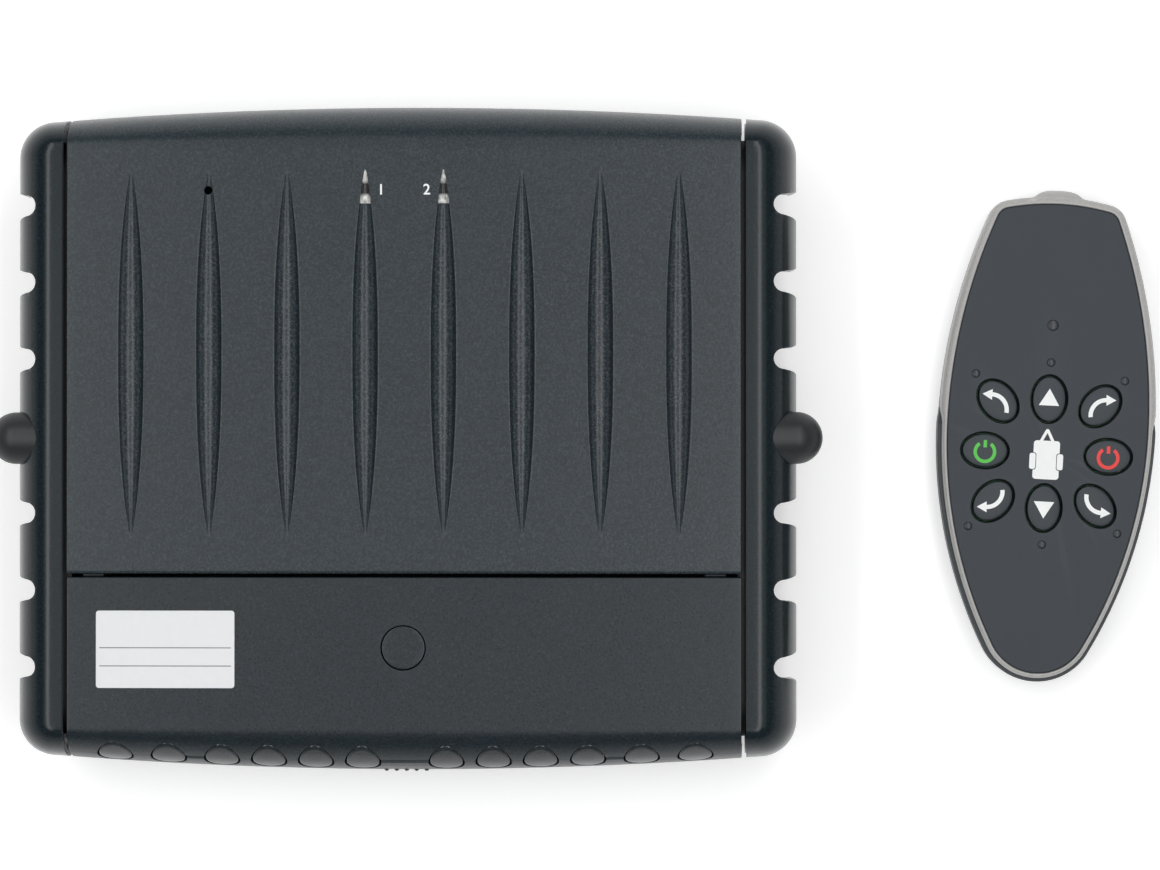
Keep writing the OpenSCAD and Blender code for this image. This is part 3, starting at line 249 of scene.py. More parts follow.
def moulded(name, tone, grain=0.55 * MM, depth=0.12 * MM, strength=0.55, rough=0.5, spread=0.16, sparkle=0.0,
            gloss=GLOSS, bloom=0.0, glint_height=None):
    """Moulded plastic with a grain in height and gloss, and a tone that varies at random. Light and shade are painted
    into its colour: painted shade in the grain's low points, painted highlights on its high points and convex edges,
    and painted glints as bright dots and on the grain above the glint height. Gloss is the specular level and bloom the
    sheen."""
    s = Surface(name)
    fine, cloud, grit = s.noise(grain, 3), s.noise(28 * MM, 3), s.noise(0.35 * grain, 1)
    height = fine * 0.75 + grit * 0.25
    body = s.mix(cloud, shade(tone, 1 - spread / 2), shade(tone, 1 + spread / 2))
    # painted shade: darker where the grain is low
    body = s.mix(fine.ramp(0.58, 0.4) * (0.4 * sparkle), body, shade(tone, 0.6))
    # painted highlight: paler where the grain is high
    body = s.mix(fine.ramp(0.45, 0.68) * (0.25 + 0.6 * sparkle), body, shade(tone, 2.3))
    # painted glints: bright dots on the grain
    glint_dots = s.node("ShaderNodeTexVoronoi", {}, {"Vector": s.place, "Scale": 1 / (3 * grain)}).ramp(0.26, 0.12)
    body = s.mix(glint_dots * (grit.ramp(0.45, 0.6) * sparkle), body, shade(tone, 4))
    # painted highlight: convex edges paler, standing in for light caught on them
    body = s.mix(s.edges() * 0.35, body, shade(tone, 1.8))
    # painted glints: paler grain on whatever stands above the glint height
    if glint_height is not None:
        crest_glints = s.place.axis(2).ramp(glint_height, glint_height + 1.6 * MM)
        body = s.mix(crest_glints * fine.ramp(0.52, 0.66) * 0.5, body, (sum(tone) * 1.4,) * 3)
    s.set(Specular_IOR_Level=gloss, Sheen_Weight=bloom, Sheen_Roughness=0.3, Base_Color=body,
          Roughness=rough + (fine - 0.5) * 0.16 + (cloud - 0.5) * 0.06)
    s.bump(height, strength, depth)
    return s.material


def rubber(name, tone, gloss=GLOSS):
    """Matte rubber with a faint bloom."""
    s = Surface(name)
    s.set(Specular_IOR_Level=gloss)
    bloom, fine = s.noise(9 * MM, 4), s.noise(0.4 * MM, 2)
    s.set(Base_Color=s.mix(bloom.ramp(0.35, 0.75), shade(tone, 0.85), shade(tone, 1.25)),
          Roughness=0.62 + (fine - 0.5) * 0.2)
    s.bump(fine, 0.3, 0.08 * MM)
    return s.material


def metal(name, tone, rough=0.3, stretch=(1, 1, 1)):
    """Plated metal with fine drawn lines and dulled patches."""
    s = Surface(name)
    lines, dull = s.noise(0.5 * MM, 2, 0.5, stretch), s.noise(7 * MM, 3)
    s.set(Base_Color=s.mix(dull.ramp(0.35, 0.7), shade(tone, 0.8), tone), Metallic=1.0,
          Roughness=rough + (lines - 0.5) * 0.2 + dull * 0.12)
    s.bump(lines, 0.15, 0.05 * MM)
    return s.material


def clear_plastic(name, start, reach):
    """Clear moulded plastic with light and shade painted into its colour: pale at both ends as painted light,
    and a painted dark band of shade where the stem leads down.
    """
    s = Surface(name)
    along = (s.place.axis(1) - start) * (1 / reach)
    flow = s.noise(1.2 * MM, 2)
    # painted shade: a dark band along the guide where the stem leads down
    stem_shade = along.ramp(0.2, 0.3) * (1 - along.ramp(0.56, 0.68))
    # painted light: the pale colour standing in for light in the clear plastic
    painted_glow = s.mix(flow.ramp(0.35, 0.7), (0.3, 0.3, 0.29), (0.95, 0.95, 0.92))
    s.set(Base_Color=s.mix(stem_shade, painted_glow, (0.02, 0.02, 0.02)), Roughness=0.05 + flow * 0.08,
          Transmission_Weight=0.25, IOR=1.49)
    s.bump(flow, 0.2, 0.1 * MM)
    return s.material


def printed(name, tone):
    """Screen print: an even ink film with a slightly rough top."""
    s = Surface(name)
    ink, fine = s.noise(2 * MM, 2), s.noise(0.2 * MM, 2)
    s.set(Base_Color=s.mix(ink, shade(tone, 0.94), tone), Roughness=0.5 + (fine - 0.5) * 0.2)
    s.bump(fine, 0.15, 0.02 * MM)
    return s.material


def laminate(name, tone):
    """Board laminate under lacquer: woven base, lighter tracks between the pads, tinned pads."""
    s = Surface(name)
    thread, pad_spacing = 1.1 * MM, 6 * MM
    weave = s.node("ShaderNodeTexBrick", {"offset": 0.0},
                   {"Vector": s.place, "Scale": 1, "Brick Width": thread, "Row Height": thread,
                    "Mortar Size": 0.06 * MM}, 1)
    cells = {"Vector": s.place, "Scale": 1 / pad_spacing}
    tracks = s.node("ShaderNodeTexVoronoi", {"distance": 'CHEBYCHEV', "feature": 'DISTANCE_TO_EDGE'}, cells)
    tracks = tracks.ramp(0.10, 0.05)
    pads = s.node("ShaderNodeTexVoronoi", {}, cells).ramp(0.16, 0.12)
    body = s.mix(tracks * 0.6, s.mix(weave * 0.3, tone, shade(tone, 0.8)), shade(tone, 1.7))
    s.set(Base_Color=s.mix(pads, body, (0.62, 0.6, 0.55)), Metallic=pads * 0.9,
          Roughness=0.34 + s.noise(1 * MM) * 0.2)
    s.bump(tracks + pads, 0.3, 0.06 * MM)
    return s.material


class Finishes(dict):
    """Materials by name, each made when it is first asked for."""

    def __missing__(self, name):
        c, u = bpy.context.scene.set_colours, unit()
        # moulded takes: colour, grain, its depth, bump strength, roughness, tone spread, sparkle, gloss, bloom
        make = {
            # the cover's rib crests get painted glints above the glint height
            "cover": lambda: moulded("cover_grain", c.cover, 0.6 * MM, 0.08 * MM, 1.0, 0.27, 0.14, 0.6,
                                     glint_height=u.face + 0.7 * MM),
            "lid": lambda: moulded("lid_grain", c.lid, 0.6 * MM, 0.05 * MM, 0.8, 0.3, 0.14, 0.6, 0.34),
            "cap": lambda: moulded("cap_grain", c.cap, 0.55 * MM, 0.03 * MM, 0.6, 0.2, 0.14, 0.55, 0.3, 0.12),
            "stud": lambda: moulded("stud_satin", c.stud, 0.3 * MM, 0.05 * MM, 0.3, 0.4),
            "plug": lambda: moulded("plug_satin", c.plug, 0.5 * MM, 0.01 * MM, 0.3, 0.14, 0.1, 0.2, 0.5),
            "tray": lambda: moulded("tray_plastic", c.tray, 0.6 * MM, 0.1 * MM, 0.4, 0.55),
            "shell": lambda: moulded("shell_grain", c.shell, 0.45 * MM, 0.1 * MM, 0.45, 0.52),
            "frame": lambda: moulded("frame_satin", c.frame, 0.3 * MM, 0.03 * MM, 0.25, 0.38, 0.05),
            "panel": lambda: moulded("panel_soft", c.panel, 0.3 * MM, 0.04 * MM, 0.3, 0.55, 0.08),
            "key": lambda: moulded("key_soft", c.key, 0.3 * MM, 0.04 * MM, 0.3, 0.5, 0.08),
            "lens": lambda: moulded("lens_smoked", shade(c.panel, 0.75), 0.4 * MM, 0.02 * MM, 0.2, 0.3, 0.05),
            "black": lambda: moulded("part_plastic", srgb(34, 36, 38), 0.5 * MM, 0.08 * MM, 0.4, 0.48),
            "terminal": lambda: moulded("terminal_plastic", srgb(111, 116, 120), 0.5 * MM, 0.06 * MM, 0.3, 0.5),
            "relay": lambda: moulded("relay_case", srgb(31, 63, 116), 0.4 * MM, 0.03 * MM, 0.25, 0.35),
            "sleeve": lambda: moulded("can_sleeve", srgb(29, 47, 82), 0.4 * MM, 0.03 * MM, 0.2, 0.3),
            # painted shade: the reset button is near black with almost no reflection, standing in for the shade down in
            # its hole
            "pit_shade": lambda: rubber("reset_plastic", srgb(4, 4, 4), 0.02),
            "lamp": lambda: moulded("lamp_resin", srgb(216, 226, 220), 0.3 * MM, 0.02 * MM, 0.1, 0.2),
            "wrap": lambda: moulded("cell_wrap", srgb(63, 95, 58), 0.4 * MM, 0.02 * MM, 0.2, 0.32),
            "mat": lambda: rubber("mat_rubber", srgb(51, 55, 58)),
            "clear": lambda: clear_plastic("clear_guide", guide_start(), 0.82 * u.guide_length),
            "label": lambda: printed("label_paper", c.label),
            "rule": lambda: printed("label_rule", c.print_grey),
            "white": lambda: printed("white_print", c.print_white),
            "green": lambda: printed("green_print", c.on_green),
            "red": lambda: printed("red_print", c.off_red),
            "board": lambda: laminate("board_laminate", srgb(47, 107, 69)),
            "zinc": lambda: metal("zinc_steel", srgb(184, 188, 192)),
            "alu": lambda: metal("extruded_aluminium", srgb(169, 173, 177), 0.38, (1, 12, 1)),
            "brass": lambda: metal("plain_brass", srgb(201, 178, 106), 0.28),
            "tin": lambda: metal("tinned_fuse", srgb(194, 198, 201), 0.34),
            "nickel": lambda: metal("nickel_spring", srgb(200, 204, 208), 0.25),
        }[name]
        self[name] = make()
        return self[name]


FINISH = Finishes()


def only(piece):
    """Makes a piece the one selected and active object."""
    bpy.ops.object.select_all(action='DESELECT')
    piece.select_set(True)
    bpy.context.view_layer.objects.active = piece


def edit(piece, *steps):
    """Runs edit-mode steps on all of a piece's mesh."""
    only(piece)
    bpy.ops.object.mode_set(mode='EDIT')
    bpy.ops.mesh.select_all(action='SELECT')
    for step in steps:
        step()
    bpy.ops.object.mode_set(mode='OBJECT')


WELD = 0.002 * MM  # points closer than this are one


def weld():
    bpy.ops.mesh.remove_doubles(threshold=WELD)


def outwards():
    bpy.ops.mesh.normals_make_consistent(inside=False)


def close_ends():
    """Fills the open ends of a tube."""
    bpy.ops.mesh.select_all(action='DESELECT')
    bpy.ops.mesh.select_non_manifold(extend=False, use_wire=False, use_multi_face=False, use_non_contiguous=False,
                                     use_verts=False)
    bpy.ops.mesh.edge_face_add()
    bpy.ops.mesh.select_all(action='SELECT')


def lattice(name, rows, *steps):
    """Grid primitive whose points are set row by row; equal points are merged and the steps follow."""
    bpy.ops.object.select_all(action='DESELECT')
    bpy.ops.mesh.primitive_grid_add(x_subdivisions=len(rows[0]) - 1, y_subdivisions=len(rows) - 1, size=1)
    piece = bpy.context.object
    piece.name = piece.data.name = name
    piece.data.vertices.foreach_set("co", [c for row in rows for point in row for c in point])
    piece.data.update()
    edit(piece, weld, *steps)
    return piece


def modify(piece, kind, **settings):
    """Adds a modifier with its settings and applies it."""
    only(piece)
    modifier = piece.modifiers.new(kind.lower(), kind)
    for key, value in settings.items():
        setattr(modifier, key, value)
    bpy.ops.object.modifier_apply(modifier=modifier.name)


def soften(piece, width, segments=2, angle=40):
    """Rounds a piece's sharp edges."""
    modify(piece, 'BEVEL', width=width, segments=segments, limit_method='ANGLE', angle_limit=radians(angle),
           harden_normals=False, use_clamp_overlap=True)
    edit(piece, weld)


def cut(piece, *tools):
    """Cuts the tools out of a piece and deletes them."""
    joined = merge(tools)
    modify(piece, 'BOOLEAN', operation='DIFFERENCE', object=joined, solver='EXACT', use_self=len(tools) > 1)
    bpy.data.objects.remove(joined)


def merge(pieces):
    """Joins several pieces into the first."""
    only(pieces[0])
    for piece in pieces[1:]:
        piece.select_set(True)
    if len(pieces) > 1:
        bpy.ops.object.join()
    return bpy.context.view_layer.objects.active


def rod(radius, start, end, sides=64):
    """Cylinder tool between two points."""
    start, end = Vector(start), Vector(end)
    bpy.ops.object.select_all(action='DESELECT')
    bpy.ops.mesh.primitive_cylinder_add(vertices=sides, radius=radius, depth=(end - start).length,
                                        location=(start + end) / 2,
                                        rotation=(end - start).to_track_quat('Z', 'Y').to_euler())
    bpy.ops.object.transform_apply(location=True, rotation=True, scale=True)
    return bpy.context.object


def block(low, high):
    """Box tool between two corners."""
    low, high = Vector(low), Vector(high)
    bpy.ops.object.select_all(action='DESELECT')
    bpy.ops.mesh.primitive_cube_add(size=1, location=(low + high) / 2, scale=high - low)
    bpy.ops.object.transform_apply(location=True, rotation=True, scale=True)
    return bpy.context.object


def prism(name, outline, low, high):
    """Outline of points extruded between two heights."""
    return lattice(name, [[(x, y, z) for x, y in outline + outline[:1]] for z in (low, high)], close_ends, outwards)


def turned(name, profile, centre, axis, sides=64):
    """Turned piece: radius and place along an axis, closed where the radius is nought."""
    turn = Vector(axis).to_track_quat('Z', 'Y').to_matrix()
    rows = [[Vector(centre) + turn @ Vector((r * cos(a), r * sin(a), t)) for a in spread(0, 2 * pi, sides)]
            for r, t in profile]
    return lattice(name, rows, outwards)


def dress(piece, body, slot, finish, *nodes, angle=35):
    """Gives a piece its finish and its place in the set, in front of the nodes that it stands for."""
    only(piece)
    piece.data.materials.clear()
    piece.data.materials.append(FINISH[finish])
    bpy.ops.object.shade_smooth_by_angle(angle=radians(angle))
    modify(piece, 'WEIGHTED_NORMAL', keep_sharp=True, weight=80)
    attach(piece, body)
    if nodes:
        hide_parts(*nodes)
    return piece


def closed_section(outer, inner, *rounding):
    """Closed loop along an outer line and back along an inner one; the four corners are rounded in this order:
    start and end of the outer line, end and start of the inner one."""
    def corner(at, before, after, r):
        at = Vector(at)
        back, on = ((Vector(p) - at).normalized() * r for p in (before, after))
        return [at + back + on - on * cos(a) - back * sin(a) for a in spread(0, pi / 2, 4)]
    a, b, c, d = rounding * 4 if len(rounding) == 1 else rounding
    loop = (corner(outer[0], inner[0], outer[1], a) + [Vector(p) for p in outer[1:-1]]
            + corner(outer[-1], outer[-2], inner[-1], b) + corner(inner[-1], outer[-1], inner[-2], c)
            + [Vector(p) for p in inner[-2:0:-1]] + corner(inner[0], inner[1], outer[0], d))
    return loop + loop[:1]


def spread(start, end, steps):
    """Even steps from start to end, both ends included."""
    return [start + (end - start) * i / steps for i in range(steps + 1)]


def clamp(value):
    return min(1, max(0, value))


def ease(value):
    """Smooth step from 0 to 1."""
    value = clamp(value)
    return value * value * (3 - 2 * value)


# Control unit

END_STEPS = (0, 0.15 * MM, 0.5 * MM)  # columns of the covers, from their ends inwards
END_DROPS = {0: 0.2 * MM, 1: 0.05 * MM}  # how much lower the first two columns lie
PARTING_HALF = 0.015 * MM  # half the gap at the parting line between the terminal cover and the entry wall
PARTING_CORNER = 0.06 * MM

def unit():
    return bpy.context.scene.control_unit


def crown(x):
    """Half height of the unit's outline at a place across it."""
    u = unit()
    radius = (u.body_half ** 2 + u.crown_fall ** 2) / (2 * u.crown_fall)
    return u.half_height - radius + sqrt(radius ** 2 - x * x)


def edge_point(x, angle, inset, step=0.0):
    """Place on the rounded edge at x: distance from the cross line and height."""
    u = unit()
    flat = u.half_height - u.edge_width
    return (flat + (crown(x) - flat - inset) * cos(angle),
            u.face - u.edge_depth + (u.edge_depth - step - inset) * sin(angle))


def sheet_columns():
    """Places across the covers, closer at their rounded ends."""
    ends = [unit().body_half - step for step in END_STEPS]
    return [-x for x in ends] + spread(-ends[-1], ends[-1], 60)[1:-1] + ends[::-1]


def end_rounding(x):
    """How much lower a cover lies at a column near its end."""
    return END_DROPS.get(round((unit().body_half - abs(x)) / END_STEPS[1]), 0.0)


def rib_places():
    u = unit()
    return [u.rib_shift + (i - (u.ribs - 1) / 2) * u.rib_pitch for i in range(u.ribs)]


def rib_radius():
    """Radius of a rib's spindle at its middle."""
    u = unit()
    return hypot(u.rib_width / 2, u.rib_sink)


def rib_half_width(y):
    """Radius of a rib's spindle at y, and its half width on the face."""
    u, taper = unit(), 2.6
    s = (y - u.rib_middle) / (u.rib_length / 2)
    radius = rib_radius() * max(0, 1 - abs(s) ** taper)
    return radius, sqrt(max(0, radius ** 2 - u.rib_sink ** 2))


def rib_height(offset, y):
    """Height of a rib over the face: round back, then a low hollow apron at its foot; flatter towards the tips."""
    u, narrowest, flat_below = unit(), 0.05 * MM, 0.4
    radius, half = rib_half_width(y)
    full = rib_radius()
    offset, foot, apron = abs(offset), 0.12 * MM * radius / full, 0.62 * MM * radius / full
    if half < narrowest:
        return 0.0
    low = sqrt(max(0, radius ** 2 - (foot + u.rib_sink) ** 2))
    if offset <= low:
        rise = sqrt(radius ** 2 - offset ** 2) - u.rib_sink
    else:
        rise = foot * max(0, 1 - (offset - low) / apron) ** 2
    return rise * min(1, radius / full / flat_below) ** 0.5


def guide_start():
    """Place where the light guides take over from their ribs."""
    u = unit()
    return u.rib_middle + u.rib_length / 2 - u.guide_length


def guide_ribs():
    """The two middle ribs, which end in light guides."""
    middle = unit().ribs // 2
    return middle - 1, middle


class MOVER_OT_main_cover(bpy.types.Operator):
    """Model the ribbed main cover"""
    bl_idname = "mover.main_cover"
    bl_label = "Main cover"

    def execute(self, context):
        u = unit()
        # columns over a rib, as parts of its half width: closest at its foot
        across = [0, .12, .24, .36, .48, .6, .7, .79, .87, .93, .97, .995, 1.02, 1.05, 1.09, 1.13, 1.17, 1.3, 1.6]
        across = [-k for k in across[:0:-1]] + across
        # rows along the ribs: closest at the tips and at the start of the light guides
        start, end = u.rib_middle - u.rib_length / 2, u.rib_middle + u.rib_length / 2
        flat, margin, split = u.half_height - u.edge_width, 0.6 * MM, 0.02 * MM
        along = spread(start, start + 6 * MM, 8) + spread(start + 8 * MM, end - 14 * MM, 30)
        along += spread(end - 12.6 * MM, end, 24)
        stop = guide_start()
        along = sorted([y for y in along if abs(y - stop) > 0.3 * MM] + [stop - split, stop + split])
        edge = u.seam_edge - 0.5 * MM
        along = spread(edge, start - margin, 5) + along + spread(end + margin, flat, 3)
        places = rib_places()

        def columns(y):
            """Places across the cover at y, each with the number of the rib that it lies on."""
            half = max(rib_half_width(y)[1], 0.5 * MM)
            marks = [(x + k * half, i) for i, x in enumerate(places) for k in across]
            ends = [u.body_half - step for step in END_STEPS]
            points = [(-x, None) for x in ends]
            points += [(x, None) for x in spread(points[-1][0], marks[0][0], 5)[1:-1]]
            for (x, i), (after, j) in zip(marks, marks[1:]):
                points.append((x, i))
                if i != j:
                    points += [(p, None) for p in spread(x, after, 5)[1:-1]]
            points.append(marks[-1])
            points += [(x, None) for x in spread(marks[-1][0], ends[-1], 5)[1:-1]]
            return points + [(x, None) for x in ends[::-1]]

        inner_z, widest = u.face - u.wall, u.face - u.edge_depth
        angles = spread(pi / 2, 0, 22)[1:]
        seam_round, hole_radius = 0.9 * MM, 1.25 * MM
        sections = []
        ribbed = {y: columns(y) for y in along if start - MM < y < end + MM}
        for column, (x, _) in enumerate(columns(flat)):
            outer, drop = [], end_rounding(x)
            for y in along:
                cx, rib = ribbed[y][column] if y in ribbed else (x, None)
                lift = 0.0
                if rib is not None and not (rib in guide_ribs() and y > stop):
                    lift = rib_height(cx - places[rib], y)
                outer.append((cx, y, u.face + lift - drop))
            for a in angles:
                y, z = edge_point(x, a, drop)
                outer.append((x, y, z))
            outer += [(x, outer[-1][1], z) for z in spread(widest, u.rim, 4)[1:]]
            inner = [(x, y, inner_z) for y in spread(edge, flat, 3)]
            for a in spread(pi / 2, 0, 8)[1:]:
                y, z = edge_point(x, a, u.wall)
                inner.append((x, y, z))
            inner.append((x, inner[-1][1], u.rim))
            sections.append(closed_section(outer, inner, seam_round, u.rim_round, u.rim_round, u.rim_round))
        cover = lattice("main_cover_skin", sections, close_ends, outwards)
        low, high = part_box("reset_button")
        hole = (low + high) / 2
        cut(cover, rod(hole_radius, (hole.x, hole.y, high.z - MM), (hole.x, hole.y, u.face + 6 * MM)))
        dress(cover, "control_unit", "cover_plastic", "cover", "main_cover", angle=50)
        return {'FINISHED'}


def plug_places():
    """Cable plugs across the unit, read from the plugs' own solids."""
    node = frame["nodes"]["cable_plugs"]
    mesh = bmesh.new()
    mesh.from_mesh(node.data)
    bmesh.ops.remove_doubles(mesh, verts=mesh.verts, dist=WELD)
    found, seen = [], set()
    for vert in mesh.verts:
        if vert in seen:
            continue
        island, todo = [], [vert]
        while todo:
            v = todo.pop()
            if v not in seen:
                seen.add(v)
                island.append(v.co.x)
                todo += [e.other_vert(v) for e in v.link_edges]
        found.append((min(island) + max(island)) / 2)
    mesh.free()
    return sorted(found)


def plug_height():
    """Height of the plugs' centres."""
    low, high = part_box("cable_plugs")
    return (low.z + high.z) / 2


def entry_tools():
    """Tools for the plugs' openings, and thin boxes that open the parting line at three places between plugs."""
    u, places, z = unit(), plug_places(), plug_height()
    radius, front, back = u.plug_radius + u.plug_groove, -u.half_height - MM, -u.half_height + 12 * MM
    tools = [rod(radius, (x, front, z), (x, back, z), 48) for x in places]
    line, half, slot_back = z + u.parting_rise, 0.8 * MM, -u.half_height + 9 * MM
    for i in (1, 5, 9):
        tools.append(block((places[i] + u.plug_radius - MM, front, line - half),
                           (places[i + 1] - u.plug_radius + MM, slot_back, line + half)))
    return tools


class MOVER_OT_terminal_cover(bpy.types.Operator):
    """Model the plain terminal cover with its hooks, plug openings and round plug"""
    bl_idname = "mover.terminal_cover"
    bl_label = "Terminal cover"

    def execute(self, context):
        u = unit()
        top, parting = u.face - u.lid_step, plug_height() + u.parting_rise + PARTING_HALF
        seam, seam_round = u.seam_edge - u.seam_gap + 0.3 * MM, 0.4 * MM
        flat, rise = u.half_height - u.edge_width, u.edge_depth - u.lid_step
        widest = u.face - u.edge_depth
        sections = []
        for x in sheet_columns():
            t = end_rounding(x)
            outer = [(x, y, top - t) for y in spread(seam, -flat, 12)]
            stop = asin((parting - widest) / (rise - t))
            for a in spread(pi / 2, stop, 20)[1:]:
                y, z = edge_point(x, a, t, u.lid_step)
                outer.append((x, -y, z))
            inner = [(x, y, top - u.wall) for y in spread(seam, -flat, 4)]
            stop = asin((parting - widest) / (rise - u.wall))
            for a in spread(pi / 2, stop, 10)[1:]:
                y, z = edge_point(x, a, u.wall, u.lid_step)
                inner.append((x, -y, z))
            sections.append(closed_section(outer, inner, seam_round, PARTING_CORNER, PARTING_CORNER, seam_round))
        lid = lattice("terminal_cover_skin", sections, close_ends, outwards)
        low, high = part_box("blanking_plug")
        middle, radius, groove = (low + high) / 2, 6.4 * MM, 0.25 * MM
        hole = rod(radius + groove, (0, middle.y, low.z - MM), (0, middle.y, u.face + MM), 96)
        cut(lid, hole, *entry_tools())
        hooks, half, bead_radius = [], 3 * MM, 0.8 * MM
        under, bead_y = u.face - u.wall - 0.3 * MM, seam + 0.6 * MM
        bead_z = under - 0.6 * MM
        for side in (-1, 1):
            x = side * 90.9 * MM
            hook = block((x - half, seam - 4 * MM, under - 2 * MM), (x + half, seam + 6.1 * MM, under - 1.2 * MM))
            soften(hook, 0.3 * MM, 2)
            hooks += [hook, rod(bead_radius, (x - half, bead_y, bead_z), (x + half, bead_y, bead_z), 24)]
        lid = merge([lid, *hooks])
        dress(lid, "terminal_cover", "lid_plastic", "lid", "terminal_cover")
        flange, foot, head = radius + 1.4 * MM, low.z, high.z
        profile = [(0, foot), (flange, foot), (flange, foot + MM), (radius, foot + 1.35 * MM),
                   (radius, head - 0.5 * MM), (radius - 0.15 * MM, head - 0.15 * MM), (radius - 0.5 * MM, head),
                   (radius - 2 * MM, head), (0, head)]
        plug = turned("blanking_plug_disc", profile, (0, middle.y, 0), (0, 0, 1), 96)
        dress(plug, "terminal_cover", "lid_plastic", "lid", "blanking_plug")
        return {'FINISHED'}


class MOVER_OT_entry_wall(bpy.types.Operator):
    """Model the cable entry wall with its plug openings and grip ribs"""
    bl_idname = "mover.entry_wall"
    bl_label = "Cable entry wall"

    def execute(self, context):
        u = unit()
        parting, rim_round = plug_height() + u.parting_rise - PARTING_HALF, 0.3 * MM
        rise, widest = u.edge_depth - u.lid_step, u.face - u.edge_depth
        sections = []
        for x in sheet_columns():
            outer, inner = [], []
            for line, inset, steps in ((outer, end_rounding(x), 14), (inner, u.wall, 8)):
                for a in spread(asin((parting - widest) / (rise - inset)), 0, steps):
                    y, z = edge_point(x, a, inset, u.lid_step)
                    line.append((x, -y, z))
                line += [(x, line[-1][1], z) for z in spread(widest, u.rim, 4)[1:]]
            sections.append(closed_section(outer, inner, PARTING_CORNER, rim_round, rim_round, PARTING_CORNER))
        wall = lattice("cable_entry_skin", sections, close_ends, outwards)
        cut(wall, *entry_tools())
        grip_pitch, grip_y, grip_foot = 2.95 * MM, 0.35 * MM - u.half_height, widest - 6 * MM
        grip = [(r * MM, z * MM) for r, z in ((0, 0), (0.5, 0.05), (0.75, 0.6), (0.75, 8.4), (0.5, 8.95), (0, 9))]
        grips = [turned("grip_rib", grip, (i * grip_pitch, grip_y, grip_foot), (0, 0, 1), 20) for i in range(-2, 3)]
        wall = merge([wall, *grips])
        dress(wall, "control_unit", "lid_plastic", "lid", "cable_entry_wall")
        return {'FINISHED'}


class MOVER_OT_plugs(bpy.types.Operator):
    """Model the twelve cable plugs"""
    bl_idname = "mover.plugs"
    bl_label = "Cable plugs"

    def execute(self, context):
        u, middle, sides = unit(), plug_height(), 48
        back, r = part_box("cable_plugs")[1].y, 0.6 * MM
        widest, rise = u.face - u.edge_depth, u.edge_depth - u.lid_step

        def front(x, z):
            """Rounded bottom edge of the unit at a place across it and a height."""
            return -edge_point(x, asin(max(0, z - widest) / rise), 0, u.lid_step)[0]

        profile = [(u.plug_radius * f, 0) for f in (0, 0.3, 0.55, 0.75)]
        profile += [(u.plug_radius - r + r * sin(a), r - r * cos(a)) for a in spread(0, pi / 2, 5)]
        plugs = []
        for place in plug_places():
            rings = [[(place + radius * cos(a), middle + radius * sin(a)) for a in spread(0, 2 * pi, sides)]
                     for radius, _ in profile]
            rows = [[(x, front(x, z) + depth, z) for x, z in points] for points, (_, depth) in zip(rings, profile)]
            rows += [[(x, back, z) for x, z in rings[-1]], [(place, back, middle)] * (sides + 1)]
            plugs.append(lattice("cable_plug_row", rows, outwards))
        dress(merge(plugs), "control_unit", "plug_rubber", "plug", "cable_plugs", angle=60)
        return {'FINISHED'}


def cap_outline(a, inset):
    """A cap's plan outline at one angle of its rounded side, from the upper joint round to the lower one."""
    u, least, growth, most_inset = unit(), 1.5 * MM, 9.5 * MM, 1.2 * MM
    flat_x, flat_y = u.half_width - u.cap_edge, u.half_height - u.edge_width
    r = least + growth * cos(a) - min(inset, most_inset) * (0.5 + 0.5 * cos(a))
    x = flat_x + (u.cap_edge - inset) * cos(a) - r
    end = flat_y + (crown(x) - flat_y - inset) * cos(a)
    joint = flat_y + (crown(u.cap_inside) - flat_y - inset) * cos(a)
    upper = [(u.cap_inside + (x - u.cap_inside) * f, joint + (end - joint) * f) for f in (0, 0.35, 0.7)]
    upper += [(x + r * cos(b), end - r + r * sin(b)) for b in spread(pi / 2, 0, 14)]
    side = [(upper[-1][0], y) for y in spread(upper[-1][1], -upper[-1][1], 120)[1:-1]]
    return upper + side + [(x, -y) for x, y in upper[::-1]]


def cap_sections(side):
    """Closed sections of a cap's wall, one for each point along its outline."""
    u = unit()
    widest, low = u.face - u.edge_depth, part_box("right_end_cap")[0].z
    rim_round, joint_round = 0.3 * MM, 0.15 * MM
    lines = []
    for inset, steps in ((0, 24), (u.wall, 12)):
        levels = [(cap_outline(0, inset), z) for z in (low, (low + widest) / 2)]
        levels += [(cap_outline(a, inset), widest + (u.edge_depth - inset) * sin(a))
                   for a in spread(0, pi / 2, steps)]
        flat, top = levels[-1]
        levels += [([(u.cap_inside + (x - u.cap_inside) * f, y) for x, y in flat], top) for f in (0.6, 0.25, 0)]
        lines.append([[(side * points[k][0], points[k][1], z) for points, z in levels] for k in range(len(flat))])
    return [closed_section(outer, inner, rim_round, joint_round, joint_round, rim_round)
            for outer, inner in zip(*lines)]


def cap_web(side, end):
    """Thin wall that closes a cap's joint behind the rounded end of the covers."""
    u = unit()
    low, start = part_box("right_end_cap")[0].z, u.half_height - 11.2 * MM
    arc = [edge_point(u.cap_inside, a, u.wall / 2) for a in spread(0, pi / 2, 24)]
    face = [(start, low), (arc[0][0], low)] + [p for p in arc if p[0] > start]
    rows = [[(side * x, end * y, z) for y, z in face + face[:1]]
            for x in (u.cap_inside - 0.45 * MM, u.cap_inside + 1.9 * MM)]
    return lattice("cap_web", rows, close_ends, outwards)


